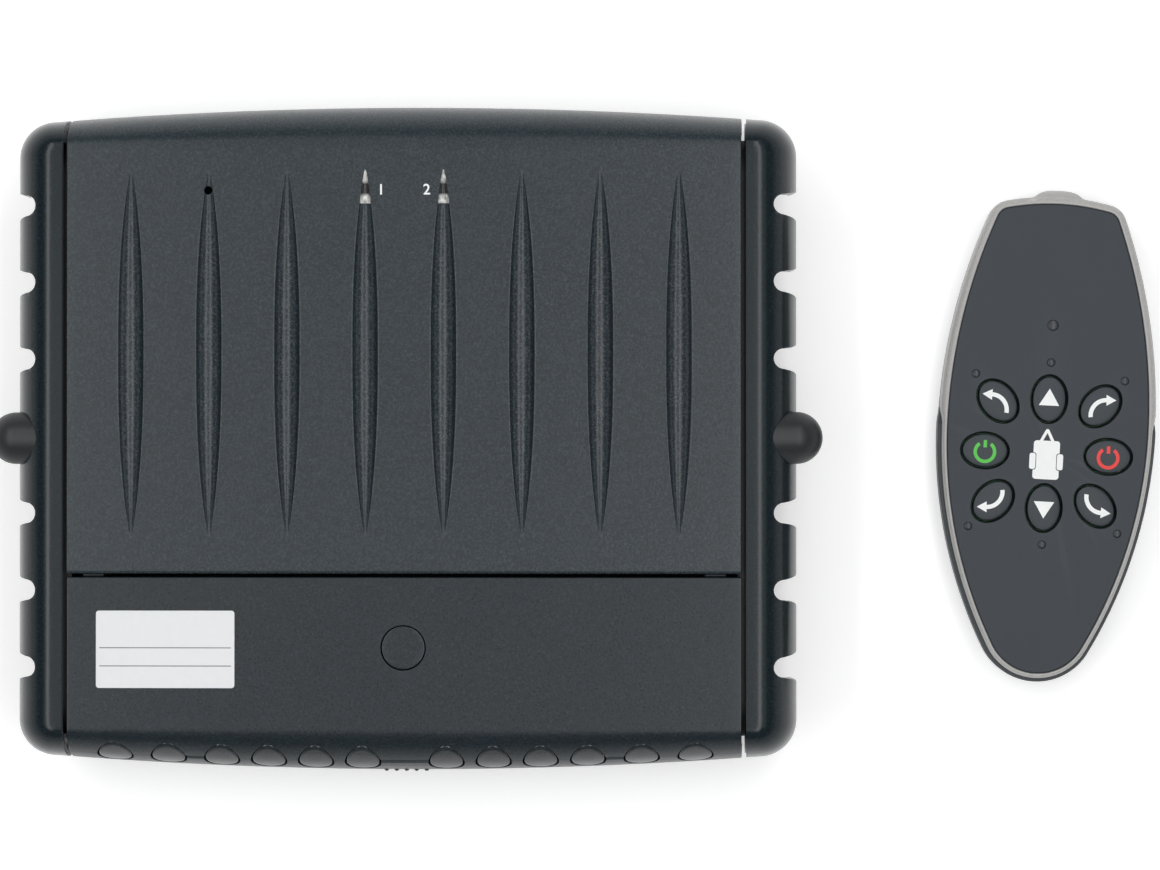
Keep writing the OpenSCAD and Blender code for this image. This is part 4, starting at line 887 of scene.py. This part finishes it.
class MOVER_OT_end_caps(bpy.types.Operator):
    """Model both notched end caps with their studs"""
    bl_idname = "mover.end_caps"
    bl_label = "End caps and studs"

    def execute(self, context):
        u = unit()
        edge, inner, seat = u.half_width, u.half_width - u.notch_depth, u.half_width - 10.9 * MM
        a, b = u.notch_width / 2, u.notch_mouth / 2
        arc = [(inner + a - a * cos(t), a * sin(t)) for t in spread(-pi / 2, pi / 2, 14)]
        flare = [(edge - 1.6 * MM, a + 0.4 * (b - a)), (edge - 0.7 * MM, a + 0.7 * (b - a)), (edge - 0.2 * MM, b),
                 (edge + MM, b + 1.6 * MM)]
        notch = arc + flare + [(x, -y) for x, y in flare[::-1]]
        r, shank, groove = u.stud_radius, 2.6 * MM, 0.15 * MM
        for side, word in ((-1, "left"), (1, "right")):
            cap = lattice(word + "_cap_shell", cap_sections(side), close_ends, outwards)
            tools = []
            for i in (-3, -2, -1, 1, 2, 3):
                shape = [(side * x, u.notch_shift + i * u.notch_pitch + y) for x, y in notch]
                tools.append(prism("notch", shape, 0, u.face + MM))
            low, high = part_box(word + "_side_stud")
            axis_z = (low.z + high.z) / 2
            tools.append(rod(r + groove, (side * seat, 0, axis_z), (side * (edge + 9 * MM), 0, axis_z), 96))
            cut(cap, *tools)
            soften(cap, 0.3 * MM, 2, 50)
            cap = merge([cap, cap_web(side, -1), cap_web(side, 1)])
            dress(cap, word + "_cap", "cap_plastic", "cap", word + "_end_cap")
            tail = min(abs(low.x), abs(high.x))
            profile = [(0, tail), (shank - 0.4 * MM, tail), (shank, tail + 0.5 * MM), (shank, seat),
                       (r - 0.3 * MM, seat), (r, seat + 0.3 * MM)]
            profile += [(r, t) for t in spread(seat + MM, edge, 4)]
            profile += [(r * cos(t), edge + r * sin(t)) for t in spread(0, pi / 2, 20)[1:]]
            stud = turned(word + "_stud", profile, (0, 0, axis_z), (side, 0, 0), 72)
            dress(stud, word + "_cap", "stud_plastic", "stud", word + "_side_stud")
        return {'FINISHED'}


class MOVER_OT_light_guides(bpy.types.Operator):
    """Model the two clear rib tips with their stems"""
    bl_idname = "mover.light_guides"
    bl_label = "Light guides"

    def execute(self, context):
        u = unit()
        gap, tip_place, stem_half, stem_reach = 0.05 * MM, 0.478, 1.2 * MM, 3 * MM
        start, end = guide_start() + gap, u.rib_middle + tip_place * u.rib_length
        along = spread(start, end - 1.5 * MM, 16) + spread(end - 1.4 * MM, end - 0.12 * MM, 8)
        stem_y = (start + end) / 2
        for number, rib in enumerate(guide_ribs(), 1):
            middle = rib_places()[rib]
            rows = []
            for y in along:
                radius, half = rib_half_width(y)
                reach = asin(min(1, half / max(radius, 1e-9)))
                arc = [(middle + radius * sin(a), y, u.face + radius * cos(a) - u.rib_sink)
                       for a in spread(-reach, reach, 24)]
                rows.append(arc + arc[:1])
            tip = lattice(f"light_guide_tip_{number}", rows, close_ends, outwards)
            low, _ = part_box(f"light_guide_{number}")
            stem = block((middle - stem_half, stem_y - stem_reach, low.z),
                         (middle + stem_half, stem_y + stem_reach, u.face - 0.2 * MM))
            soften(stem, 0.2 * MM)
            tip = merge([tip, stem])
            dress(tip, "control_unit", "clear_guide", "clear", f"light_guide_{number}")
        return {'FINISHED'}


class MOVER_OT_label(bpy.types.Operator):
    """Lay the bare label with its two rules on the terminal cover, and print the guides' numerals"""
    bl_idname = "mover.label"
    bl_label = "Label and numerals"

    def execute(self, context):
        u = unit()
        top = u.face - u.lid_step
        left, right, lower, upper, r = -89.9 * MM, -49.3 * MM, -73 * MM, -50.4 * MM, 0.9 * MM
        thickness, rule_width, rule_margin = 0.12 * MM, 0.3 * MM, MM
        corners = ((right - r, upper - r, 0), (left + r, upper - r, pi / 2), (left + r, lower + r, pi),
                   (right - r, lower + r, 3 * pi / 2))
        outline = [(x + r * cos(a), y + r * sin(a)) for x, y, turn in corners for a in spread(turn, turn + pi / 2, 6)]
        plate = prism("label_plate", outline, top, top + thickness)
        soften(plate, 0.05 * MM, 1, 60)
        dress(plate, "terminal_cover", "lamp_plastic", "label")
        start, end = left + rule_margin, right - rule_margin
        for number, y in ((1, -61.4 * MM), (2, -66.7 * MM)):
            strip = [(start, y), (end, y), (end, y + rule_width), (start, y + rule_width)]
            rule = prism(f"label_rule_{number}", strip, top + 0.1 * MM, top + 0.13 * MM)
            dress(rule, "terminal_cover", "lamp_plastic", "rule")
        figure_size, figure_y, film = 4.4 * MM, guide_start() + 2.7 * MM, 0.02 * MM
        for numeral, rib, shift in (("1", guide_ribs()[0], 4.6 * MM), ("2", guide_ribs()[1], -4.9 * MM)):
            bpy.ops.object.select_all(action='DESELECT')
            bpy.ops.object.text_add(location=(rib_places()[rib] + shift, figure_y, u.face + 0.01 * MM))
            figure = context.object
            figure.data.body, figure.data.size, figure.data.align_x = numeral, figure_size, 'CENTER'
            figure.data.offset, figure.data.extrude = 0.05 * MM, film
            bpy.ops.object.convert(target='MESH')
            bpy.ops.object.transform_apply(location=True, rotation=True, scale=True)
            figure = context.object
            figure.name = figure.data.name = "numeral_" + numeral
            dress(figure, "control_unit", "lamp_plastic", "white")
        return {'FINISHED'}


# Handset

def hand():
    return bpy.context.scene.handset


def at_handset(x, y, z):
    """Point of the set for a point on the handset, measured from its keypad centre."""
    h = hand()
    return (h.x + x * cos(h.turn) + y * sin(h.turn), h.y - x * sin(h.turn) + y * cos(h.turn), z)


def handset_outline(grow, fine=20):
    """Outline of the face panel grown by a distance, anticlockwise from the bottom, first point repeated."""
    h = hand()
    lower, upper = h.half_width - h.lower_radius, h.half_width - h.upper_radius
    drop = h.widest + h.bottom
    end = (h.lower_radius ** 2 - lower ** 2 - drop ** 2) / (2 * (h.lower_radius - drop))
    low_turn = -atan2(drop - end, -lower)
    top = h.top - h.top_radius
    gap_x, gap_y = upper, h.widest - top
    gap = hypot(gap_x, gap_y)
    near, far = h.top_radius - h.corner_radius, h.upper_radius - h.corner_radius
    along = (near ** 2 - far ** 2 + gap ** 2) / (2 * gap)
    off = sqrt(near ** 2 - along ** 2)
    cx, cy = (along * gap_x + off * gap_y) / gap, top + (along * gap_y - off * gap_x) / gap
    high_turn, corner_turn = atan2(cy - h.widest, cx - upper), atan2(cy - top, cx)
    # arcs up the right side: centre, radius, first and last angle, steps
    arcs = ((0, end - h.bottom, end, -pi / 2, low_turn, fine),
            (lower, h.widest, h.lower_radius, low_turn, 0, 2 * fine),
            (upper, h.widest, h.upper_radius, 0, high_turn, 2 * fine),
            (cx, cy, h.corner_radius, high_turn, corner_turn, fine // 2),
            (0, top, h.top_radius, corner_turn, pi / 2, fine))
    right = []
    for x, y, r, start, stop, steps in arcs:
        right += [(x + (r + grow) * cos(a), y + (r + grow) * sin(a)) for a in spread(start, stop, steps)[bool(right):]]
    return right + [(-x, y) for x, y in right[-2::-1]]


def frame_edge(y):
    """Lower edge of the grey frame: deep on the upper half, a narrow ring on the lower half."""
    lower_edge, drop, step_start, step_length = 19, 11.5, 6, 14
    return (lower_edge - drop * ease((y / MM - step_start) / step_length)) * MM


def stepped(low, high):
    """Outline with one growth below the step in the handset's sides and another above it."""
    points, step_start, step_length = [], 7.5, 5.5
    for (ax, ay), (bx, by) in zip(handset_outline(low), handset_outline(high)):
        f = ease((by / MM - step_start) / step_length)
        points.append((ax * (1 - f) + bx * f, ay * (1 - f) + by * f))
    return points


def ring(grow, z, low=None):
    """Grown outline at a height, or at a height for each place; low is its growth below the step."""
    return [at_handset(x, y, z(y) if callable(z) else z) for x, y in stepped(grow if low is None else low, grow)]


class MOVER_OT_handset_case(bpy.types.Operator):
    """Model the handset's grey frame and its lower shell"""
    bl_idname = "mover.handset_case"
    bl_label = "Handset frame and shell"

    def execute(self, context):
        h = hand()
        w, top = h.frame_width, h.face
        under, wall = top - 1.8 * MM, 2 * MM

        def nose(x, y, z):
            """Outward bulge of the frame at the top centre."""
            bulge, half = 1.9 * MM, 7.4 * MM
            if y < h.top - 4 * MM:
                return 0
            s = max(0, 1 - (x / half) ** 2)
            rise = clamp((top - 1.2 * MM - z) / (2.4 * MM)) * clamp((z - 8 * MM) / MM)
            return bulge * s * (2 - s) * ease(rise)

        def row(grow, height, inset=0.0):
            """Outline at a height, narrower by the inset below the step; the nose stands out of its outer rows."""
            points = []
            for x, y in stepped(grow - inset, grow):
                z = height(y) if callable(height) else height
                points.append(at_handset(x, y + (nose(x, y, z) if grow > 0.4 * MM else 0), z))
            return points

        flat, narrow, lip = 0.6 * MM, 0.8 * MM, -1.3 * MM
        rows = [row(w - wall, lambda y: frame_edge(y) + 0.2 * MM), row(w - wall + 0.2 * MM, frame_edge),
                row(w - 0.3 * MM, frame_edge, narrow), row(w, lambda y: frame_edge(y) + 0.3 * MM, narrow)]
        rows += [row(w, lambda y, f=f: frame_edge(y) + 0.3 * MM + (top - 2.9 * MM - frame_edge(y)) * f, narrow)
                 for f in (0.15, 0.3, 0.45, 0.6, 0.75, 0.9, 1)]
        rows += [row(flat + (w - flat) * cos(a), top - 2.6 * MM * (1 - sin(a)), narrow * cos(a))
                 for a in spread(0, pi / 2, 10)]
        rows += [row(0.35 * MM, top), row(0.15 * MM, top - 0.2 * MM), row(0.15 * MM, under), row(lip, under),
                 row(lip, under - 1.2 * MM), row(w - wall, under - 1.7 * MM), rows[0]]
        ring_piece = lattice("handset_frame_ring", rows, outwards)
        dress(ring_piece, "handset", "frame_plastic", "frame", "handset_frame")

        r, floor, out = 6 * MM, 3.2 * MM, 0.4 * MM
        count = len(handset_outline(0))

        def side(inset, z):
            """Outline of the shell's outside moved inwards, wider below the step."""
            return ring(w - inset, z, w + out - inset)

        def rim(y):
            return frame_edge(y) - 0.2 * MM

        rows = [[at_handset(0, 0, 0)] * count]
        rows += [side(r * (1 - sin(a)), r * (1 - cos(a))) for a in spread(0, pi / 2, 12)]
        rows += [side(0, lambda y, f=f: r + (rim(y) - 0.3 * MM - r) * f) for f in (0.3, 0.6, 1)]
        rows += [side(0.3 * MM, rim), side(wall, rim)]
        rows += [side(wall + (r - wall) * (1 - sin(a)), floor + (r - wall) * (1 - cos(a)))
                 for a in spread(pi / 2, 0, 6)]
        rows += [[at_handset(0, 0, floor)] * count]
        bowl = lattice("handset_lower_shell", rows, outwards)
        gap, door_half, tongue_half = 0.15 * MM, 18.5 * MM, 19.5 * MM
        door_end, door_top, tongue_low = 15.15 * MM, 1.8 * MM, 0.9 * MM

        def channel(half, y0, y1, z0, z1):
            """Box tool along the handset, for the battery door and the bay above it."""
            corners = [at_handset(x, y, 0)[:2] for x, y in ((-half, y0), (half, y0), (half, y1), (-half, y1))]
            return prism("channel", corners, z0, z1)

        cut(bowl, channel(door_half + gap, -2 * h.bottom, door_end, -MM, door_top + gap),
            channel(tongue_half + gap, -2 * h.bottom, door_end, tongue_low - gap, door_top + gap),
            channel(16.95 * MM, -38.15 * MM, 12.15 * MM, -MM, floor + MM))
        screws, screw_hole = ((-12.5, 58), (12.5, 58), (-8, -52), (8, -52)), 2.15 * MM
        cut(bowl, *[rod(screw_hole, at_handset(x * MM, y * MM, -MM), at_handset(x * MM, y * MM, 5.8 * MM), 32)
                    for x, y in screws])
        soften(bowl, 0.25 * MM, 2, 50)
        dress(bowl, "handset", "shell_plastic", "shell", "handset_back_shell")
        return {'FINISHED'}


def key_places():
    """Name, place and turn of each key."""
    h = hand()
    x, y, t = h.corner_key_x, h.corner_key_y, h.corner_turn
    return (("key_forward", 0, h.straight_key, 0), ("key_back", 0, -h.straight_key, 0), ("key_left_forward", -x, y, t),
            ("key_right_forward", x, y, -t), ("key_left_back", -x, -y, -t), ("key_right_back", x, -y, t),
            ("key_on", -h.power_key, 0, pi / 2), ("key_off", h.power_key, 0, pi / 2))


OVAL_SIDES = 64


def oval(width, depth, x, y, turn):
    """Oval on the handset's face, first point repeated."""
    points = []
    for a in spread(0, 2 * pi, OVAL_SIDES):
        px, py = width / 2 * cos(a), depth / 2 * sin(a)
        points.append((x + px * cos(turn) - py * sin(turn), y + px * sin(turn) + py * cos(turn)))
    return points


# Lamps of the handset, in mm from the keypad centre: place across and up, radius
HANDSET_LAMPS = ((0, 37.9, 1.6), (0, -26.9, 1.2), (0, 26.9, 1.2), (-21.96, -22.56, 1.2), (-21.96, 22.56, 1.2),
                 (21.96, -22.56, 1.2), (21.96, 22.56, 1.2))


class MOVER_OT_handset_face(bpy.types.Operator):
    """Model the handset's panel with its key holes, the lamps' lenses and the keys"""
    bl_idname = "mover.handset_face"
    bl_label = "Handset panel, lamps and keys"

    def execute(self, context):
        h = hand()
        top, under = h.face, h.face - 1.8 * MM
        edge, slope = 0.4 * MM, 0.12 * MM
        count = len(handset_outline(0))
        rows = [[at_handset(0, 0, under)] * count, ring(0, under), ring(0, top - edge), ring(-slope, top - slope),
                ring(-edge, top)]
        rows += [[at_handset(x * f, y * f, top) for x, y in handset_outline(-edge)] for f in (0.9, 0.6, 0.3, 0)]
        panel = lattice("handset_face_panel", rows, outwards)
        tools = []
        for name, x, y, turn in key_places():
            hole = [at_handset(px, py, 0)[:2] for px, py in oval(h.hole_width, h.hole_length, x, y, turn)[:-1]]
            tools.append(prism("key_hole", hole, under - MM, top + MM))
        lenses, dome, gap = [], 0.3 * MM, 0.06
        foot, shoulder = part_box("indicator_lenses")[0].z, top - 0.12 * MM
        for x, y, r in HANDSET_LAMPS:
            low, high = (at_handset(x * MM, y * MM, z) for z in (under - MM, top + MM))
            tools.append(rod((r + gap) * MM, low, high, 32))
            profile = [(0, foot), (r * MM, foot), (r * MM, shoulder)]
            profile += [(r * MM * cos(a), shoulder + dome * sin(a)) for a in spread(0, pi / 2, 8)[1:]]
            lenses.append(turned("lamp_lenses", profile, at_handset(x * MM, y * MM, 0), (0, 0, 1), 32))
        dress(merge(lenses), "handset", "lens_plastic", "lens", "indicator_lenses")
        cut(panel, *tools)
        soften(panel, 0.2 * MM, 2, 50)
        dress(panel, "handset", "panel_plastic", "panel", "handset_panel", angle=15)
        width, depth = h.hole_width - 2 * h.key_gap, h.hole_length - 2 * h.key_gap
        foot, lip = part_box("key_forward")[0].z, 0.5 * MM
        rim = [(0, foot), (0, top - 0.75 * MM), (0.04 * MM, top - 0.4 * MM), (0.16 * MM, top - 0.15 * MM), (lip, top)]
        for name, x, y, turn in key_places():
            rows = [[at_handset(x, y, foot)] * (OVAL_SIDES + 1)]
            rows += [[at_handset(px, py, z) for px, py in oval(width - 2 * t, depth - 2 * t, x, y, turn)]
                     for t, z in rim]
            rows += [[at_handset(px, py, key_height(f)) for px, py in
                      oval((width - 2 * lip) * f, (depth - 2 * lip) * f, x, y, turn)]
                     for f in (0.85, 0.7, 0.55, 0.4, 0.25, 0.12, 0)]
            key = lattice(name + "_cap", rows, outwards)
            dress(key, name, "key_plastic", "key", name)
        return {'FINISHED'}


def key_height(f):
    """Height of a key's domed top, from its middle at 0 to its lip at 1."""
    h = hand()
    return h.face + h.key_proud * (1 - f * f)


def bar(start, end, width, steps=8):
    """Straight strip between two points."""
    (ax, ay), (bx, by) = start, end
    across = Vector((by - ay, ax - bx)).normalized() * width / 2
    return [[(ax + (bx - ax) * f + across.x * k, ay + (by - ay) * f + across.y * k) for k in (-1, 0, 1)]
            for f in spread(0, 1, steps)]


def bow(x, y, radius, start, stop, width, steps=24):
    """Curved strip about a centre."""
    return [[(x + r * cos(a), y + r * sin(a)) for r in spread(radius - width / 2, radius + width / 2, 2)]
            for a in spread(start, stop, steps)]


def wedge(tip, base, width, steps=8):
    """Solid arrow head from a tip back to the middle of its base."""
    (ax, ay), (bx, by) = tip, base
    across = Vector((by - ay, ax - bx)).normalized() * width / 2
    return [[(ax + (bx - ax) * f + across.x * k * f, ay + (by - ay) * f + across.y * k * f) for k in spread(-1, 1, 8)]
            for f in spread(0, 1, steps)]


def slab(left, right, low, high, corner, steps=6):
    """Rounded rectangle as a strip from its lower to its upper edge."""
    rows = []
    for a in spread(-pi / 2, 0, steps) + spread(0, pi / 2, steps):
        y = (low + corner if len(rows) <= steps else high - corner) + corner * sin(a)
        inset = corner * (1 - cos(a))
        rows.append([(x, y) for x in spread(left + inset, right - inset, 6)])
    return rows


def sign(name, strips, place, body, finish):
    """Prints strips of points as one thin film; place gives the set's point for a point on the sign."""
    film = merge([lattice(name, [[place(px, py) for px, py in row] for row in strip]) for strip in strips])
    film.name = film.data.name = name
    edit(film, outwards)
    if sum(p.normal.z * p.area for p in film.data.polygons) < 0:
        edit(film, bpy.ops.mesh.flip_normals)
    modify(film, 'SOLIDIFY', thickness=0.03 * MM, offset=1)
    dress(film, body, "key_plastic" if body.startswith("key") else "panel_plastic", finish)


class MOVER_OT_signs(bpy.types.Operator):
    """Print the keys' signs and the caravan sign"""
    bl_idname = "mover.signs"
    bl_label = "Key signs"

    def execute(self, context):
        h = hand()
        half_w, half_d = h.hole_width / 2 - h.key_gap - 0.5 * MM, h.hole_length / 2 - h.key_gap - 0.5 * MM

        ink = 0.02 * MM

        def on_key(x, y, turn):
            """Gives the place on a key's domed top for a point of its sign."""
            def place(px, py):
                u, v = px * cos(turn) + py * sin(turn), -px * sin(turn) + py * cos(turn)
                return at_handset(x + px, y + py, key_height(hypot(u / half_w, v / half_d)) + ink)
            return place

        def on_panel(rise):
            """Gives the place over the panel for a point of its sign."""
            return lambda px, py: at_handset(px, py, h.face + rise)

        keys = {name: on_key(x, y, turn) for name, x, y, turn in key_places()}
        for name, way in (("key_forward", 1), ("key_back", -1)):
            strips = [wedge((0, way * 3.1 * MM), (0, way * -1.9 * MM), 6 * MM)]
            sign(name + "_sign", strips, keys[name], name, "white")
        r, w = 4.6 * MM, 1.25 * MM
        for name, across, up in (("key_left_forward", -1, 1), ("key_right_forward", 1, 1), ("key_left_back", -1, -1),
                                 ("key_right_back", 1, -1)):
            cx, cy = across * 1.9 * MM, up * -2.7 * MM
            curve = [[(cx - across * px, cy + up * py) for px, py in row]
                     for row in bow(0, 0, r, radians(-8), radians(88.4), w)]
            head = wedge((cx + across * 2.75 * MM, cy + up * (r + 0.05 * MM)),
                         (cx - across * 0.15 * MM, cy + up * (r - 0.05 * MM)), 3.2 * MM)
            sign(name + "_sign", [curve, head], keys[name], name, "white")
        line = 1.0 * MM
        power = [bow(0, -0.4 * MM, 2.85 * MM, radians(125), radians(415), line, 48),
                 bar((0, 0.9 * MM), (0, 3.05 * MM), line)]
        for name, finish in (("key_on", "green"), ("key_off", "red")):
            sign(name + "_sign", power, keys[name], name, finish)
        body = [slab(-3.85 * MM, 3.85 * MM, -7.6 * MM, 3.8 * MM, 0.9 * MM)]
        drawbar = [[[(x * MM, y * MM) for x, y in pair] for pair in (
            ((-2.15, 3.8), (-1.15, 3.8)), ((-0.55, 6.9), (0, 6.1)), ((-0.25, 7.25), (0, 6.1)), ((0.25, 7.25), (0, 6.1)),
            ((0.55, 6.9), (0, 6.1)), ((2.15, 3.8), (1.15, 3.8)))]]
        sign("caravan_sign", body + drawbar, on_panel(ink), "handset", "white")
        track = 4.05 * MM
        for name, half, low, high, corner, rise, finish in (("wheel_line_sign", 1.1, -4.9, 0.2, 0.7, 0.055, "panel"),
                                                            ("wheel_sign", 0.9, -4.7, 0, 0.6, 0.09, "white")):
            wheels = [slab(side * track - half * MM, side * track + half * MM, low * MM, high * MM, corner * MM)
                      for side in (-1, 1)]
            sign(name, wheels, on_panel(rise * MM), "handset", finish)
        return {'FINISHED'}


# Nodes that keep their own shape, with their finishes
INSIDE = {
    # the reset button takes the painted shade of its hole
    "base_tray": "tray", "reset_button": "pit_shade", "reset_switch": "black", "status_leds": "lamp", "main_board": "board",
    "board_screws": "zinc", "relays": "relay", "heat_sink": "alu", "power_transistors": "black", "capacitors": "sleeve",
    "terminal_block": "terminal", "terminal_screws": "brass", "fuse_holder": "black", "main_fuse": "tin",
    "receiver_module": "tin", "aerial": "black", "cover_screws": "zinc", "entry_wall_screws": "zinc",
    "keypad_mat": "mat", "handset_board": "board", "dome_switches": "nickel", "battery_door": "shell",
    "battery_cells": "wrap", "battery_contacts": "nickel", "handset_screws": "zinc", "buzzer": "black",
}


class MOVER_OT_inside(bpy.types.Operator):
    """Round the edges of the pieces inside and underneath and give them their finishes"""
    bl_idname = "mover.inside"
    bl_label = "Inside pieces"

    def execute(self, context):
        for node, finish in INSIDE.items():
            piece = frame["nodes"][node]
            piece.data.materials.clear()
            piece.data.materials.append(FINISH[finish])
            joint = piece.modifiers.new("weld", 'WELD')
            joint.merge_threshold = WELD
            edge = piece.modifiers.new("edges", 'BEVEL')
            edge.width, edge.segments, edge.limit_method = 0.25 * MM, 2, 'ANGLE'
            edge.angle_limit = radians(45)
        return {'FINISHED'}


# Lamps: place in metres, width, length, power in watts
LAMPS = {
    "left_strip": ((-0.48, 0.25, 1.02), 0.24, 1.5, 4.4), "right_strip": ((0.30, 0.25, 1.02), 0.24, 1.5, 4.4),
    "overhead": ((0, -0.15, 1.45), 2.4, 0.7, 3.9), "rear_overhead": ((0, 1.0, 1.45), 2.4, 1.6, 5.4),
    "fill": ((0, -0.9, 1.45), 2.4, 0.8, 3.2), "centre": ((-0.17, 0, 1.45), 0.3, 0.3, 0.15),
    "glint": ((0, -0.4, 1.35), 0.06, 0.06, 0.16),
}
CAMERA_PLACE, CAMERA_AIM = Vector((0.1033, -0.0113, 1.396)), Vector((0.0516, 0.0008, 0.050))
CAMERA_LENS, CAMERA_SENSOR = 143.8, 36  # in mm


class MOVER_OT_stage(bpy.types.Operator):
    """Set up the floor, the lamps and the camera"""
    bl_idname = "mover.stage"
    bl_label = "Stage"

    def execute(self, context):
        scene = context.scene
        scene.view_settings.view_transform = 'Standard'
        bpy.ops.object.select_all(action='DESELECT')
        bpy.ops.mesh.primitive_plane_add(size=6)
        floor = context.object
        floor.name = "floor"
        paper = Surface("floor_paper")
        seen = paper.node("ShaderNodeLightPath", output="Is Camera Ray")
        paper.set(Base_Color=tuple(scene.set_colours.floor), Roughness=0.9, Emission_Strength=0.28,
                  Emission_Color=paper.mix(seen, (0.7, 0.7, 0.7), (1, 1, 1)))
        paper.bump(paper.noise(2 * MM), 0.02, 0.05 * MM)
        floor.data.materials.append(paper.material)
        world = bpy.data.worlds.new("studio")
        world.use_nodes = True
        scene.world = world
        sky = Node(world.node_tree)
        path = [sky.node("ShaderNodeLightPath", output=o) for o in ("Is Camera Ray", "Is Transmission Ray")]
        seen = path[0].math('MAXIMUM', path[0], path[1])
        back = world.node_tree.nodes["Background"]
        back.inputs["Color"].default_value = (1, 1, 1, 1)
        height = sky.node("ShaderNodeTexCoord", output="Generated").axis(2)
        plain = 0.18 + height.ramp(0.45, 0.08) * 0.75
        world.node_tree.links.new((plain + seen * (1 - plain)).socket, back.inputs["Strength"])
        for name, (place, width, reach, energy) in LAMPS.items():
            turn = atan2(place[0], place[2])
            bpy.ops.object.light_add(type='AREA', location=place, rotation=(0, turn, 0))
            lamp = context.object
            lamp.name, lamp.visible_glossy = name, name != "fill"
            lamp.data.shape, lamp.data.size, lamp.data.size_y, lamp.data.energy = 'RECTANGLE', width, reach, energy
        data = bpy.data.cameras.new("photo_camera")
        camera = bpy.data.objects.new("photo_camera", data)
        scene.collection.objects.link(camera)
        data.sensor_width, data.lens, data.clip_end = CAMERA_SENSOR, CAMERA_LENS, 20
        back_axis = (CAMERA_PLACE - CAMERA_AIM).normalized()
        side_axis = Vector((0, 1, 0)).cross(back_axis).normalized()
        camera.matrix_world = Matrix.Translation(CAMERA_PLACE) @ Matrix(
            (side_axis, back_axis.cross(side_axis), back_axis)).transposed().to_4x4()
        scene.camera = camera
        return {'FINISHED'}


OPERATORS = (MOVER_OT_main_cover, MOVER_OT_terminal_cover, MOVER_OT_entry_wall, MOVER_OT_plugs, MOVER_OT_end_caps,
             MOVER_OT_light_guides, MOVER_OT_label, MOVER_OT_handset_case, MOVER_OT_handset_face, MOVER_OT_signs,
             MOVER_OT_inside, MOVER_OT_stage)


class MOVER_PT_panel(bpy.types.Panel):
    """Lists the steps that model and dress the set"""
    bl_label = "Mover set"
    bl_idname = "MOVER_PT_panel"
    bl_space_type = 'VIEW_3D'
    bl_region_type = 'UI'
    bl_category = "Mover set"

    def draw(self, context):
        for step in OPERATORS:
            self.layout.operator(step.bl_idname)


GROUPS = {"control_unit": ControlUnitSizes, "handset": HandsetSizes, "set_colours": SetColours}


def register():
    for cls in (*GROUPS.values(), *OPERATORS, MOVER_PT_panel):
        bpy.utils.register_class(cls)
    for name, group in GROUPS.items():
        setattr(bpy.types.Scene, name, PointerProperty(type=group))


def unregister():
    for name in GROUPS:
        delattr(bpy.types.Scene, name)
    for cls in (MOVER_PT_panel, *OPERATORS, *GROUPS.values()):
        bpy.utils.unregister_class(cls)


def main():
    register()
    for step in OPERATORS:
        getattr(bpy.ops.mover, step.bl_idname.split(".")[1])()


if __name__ == "__main__":
    main()
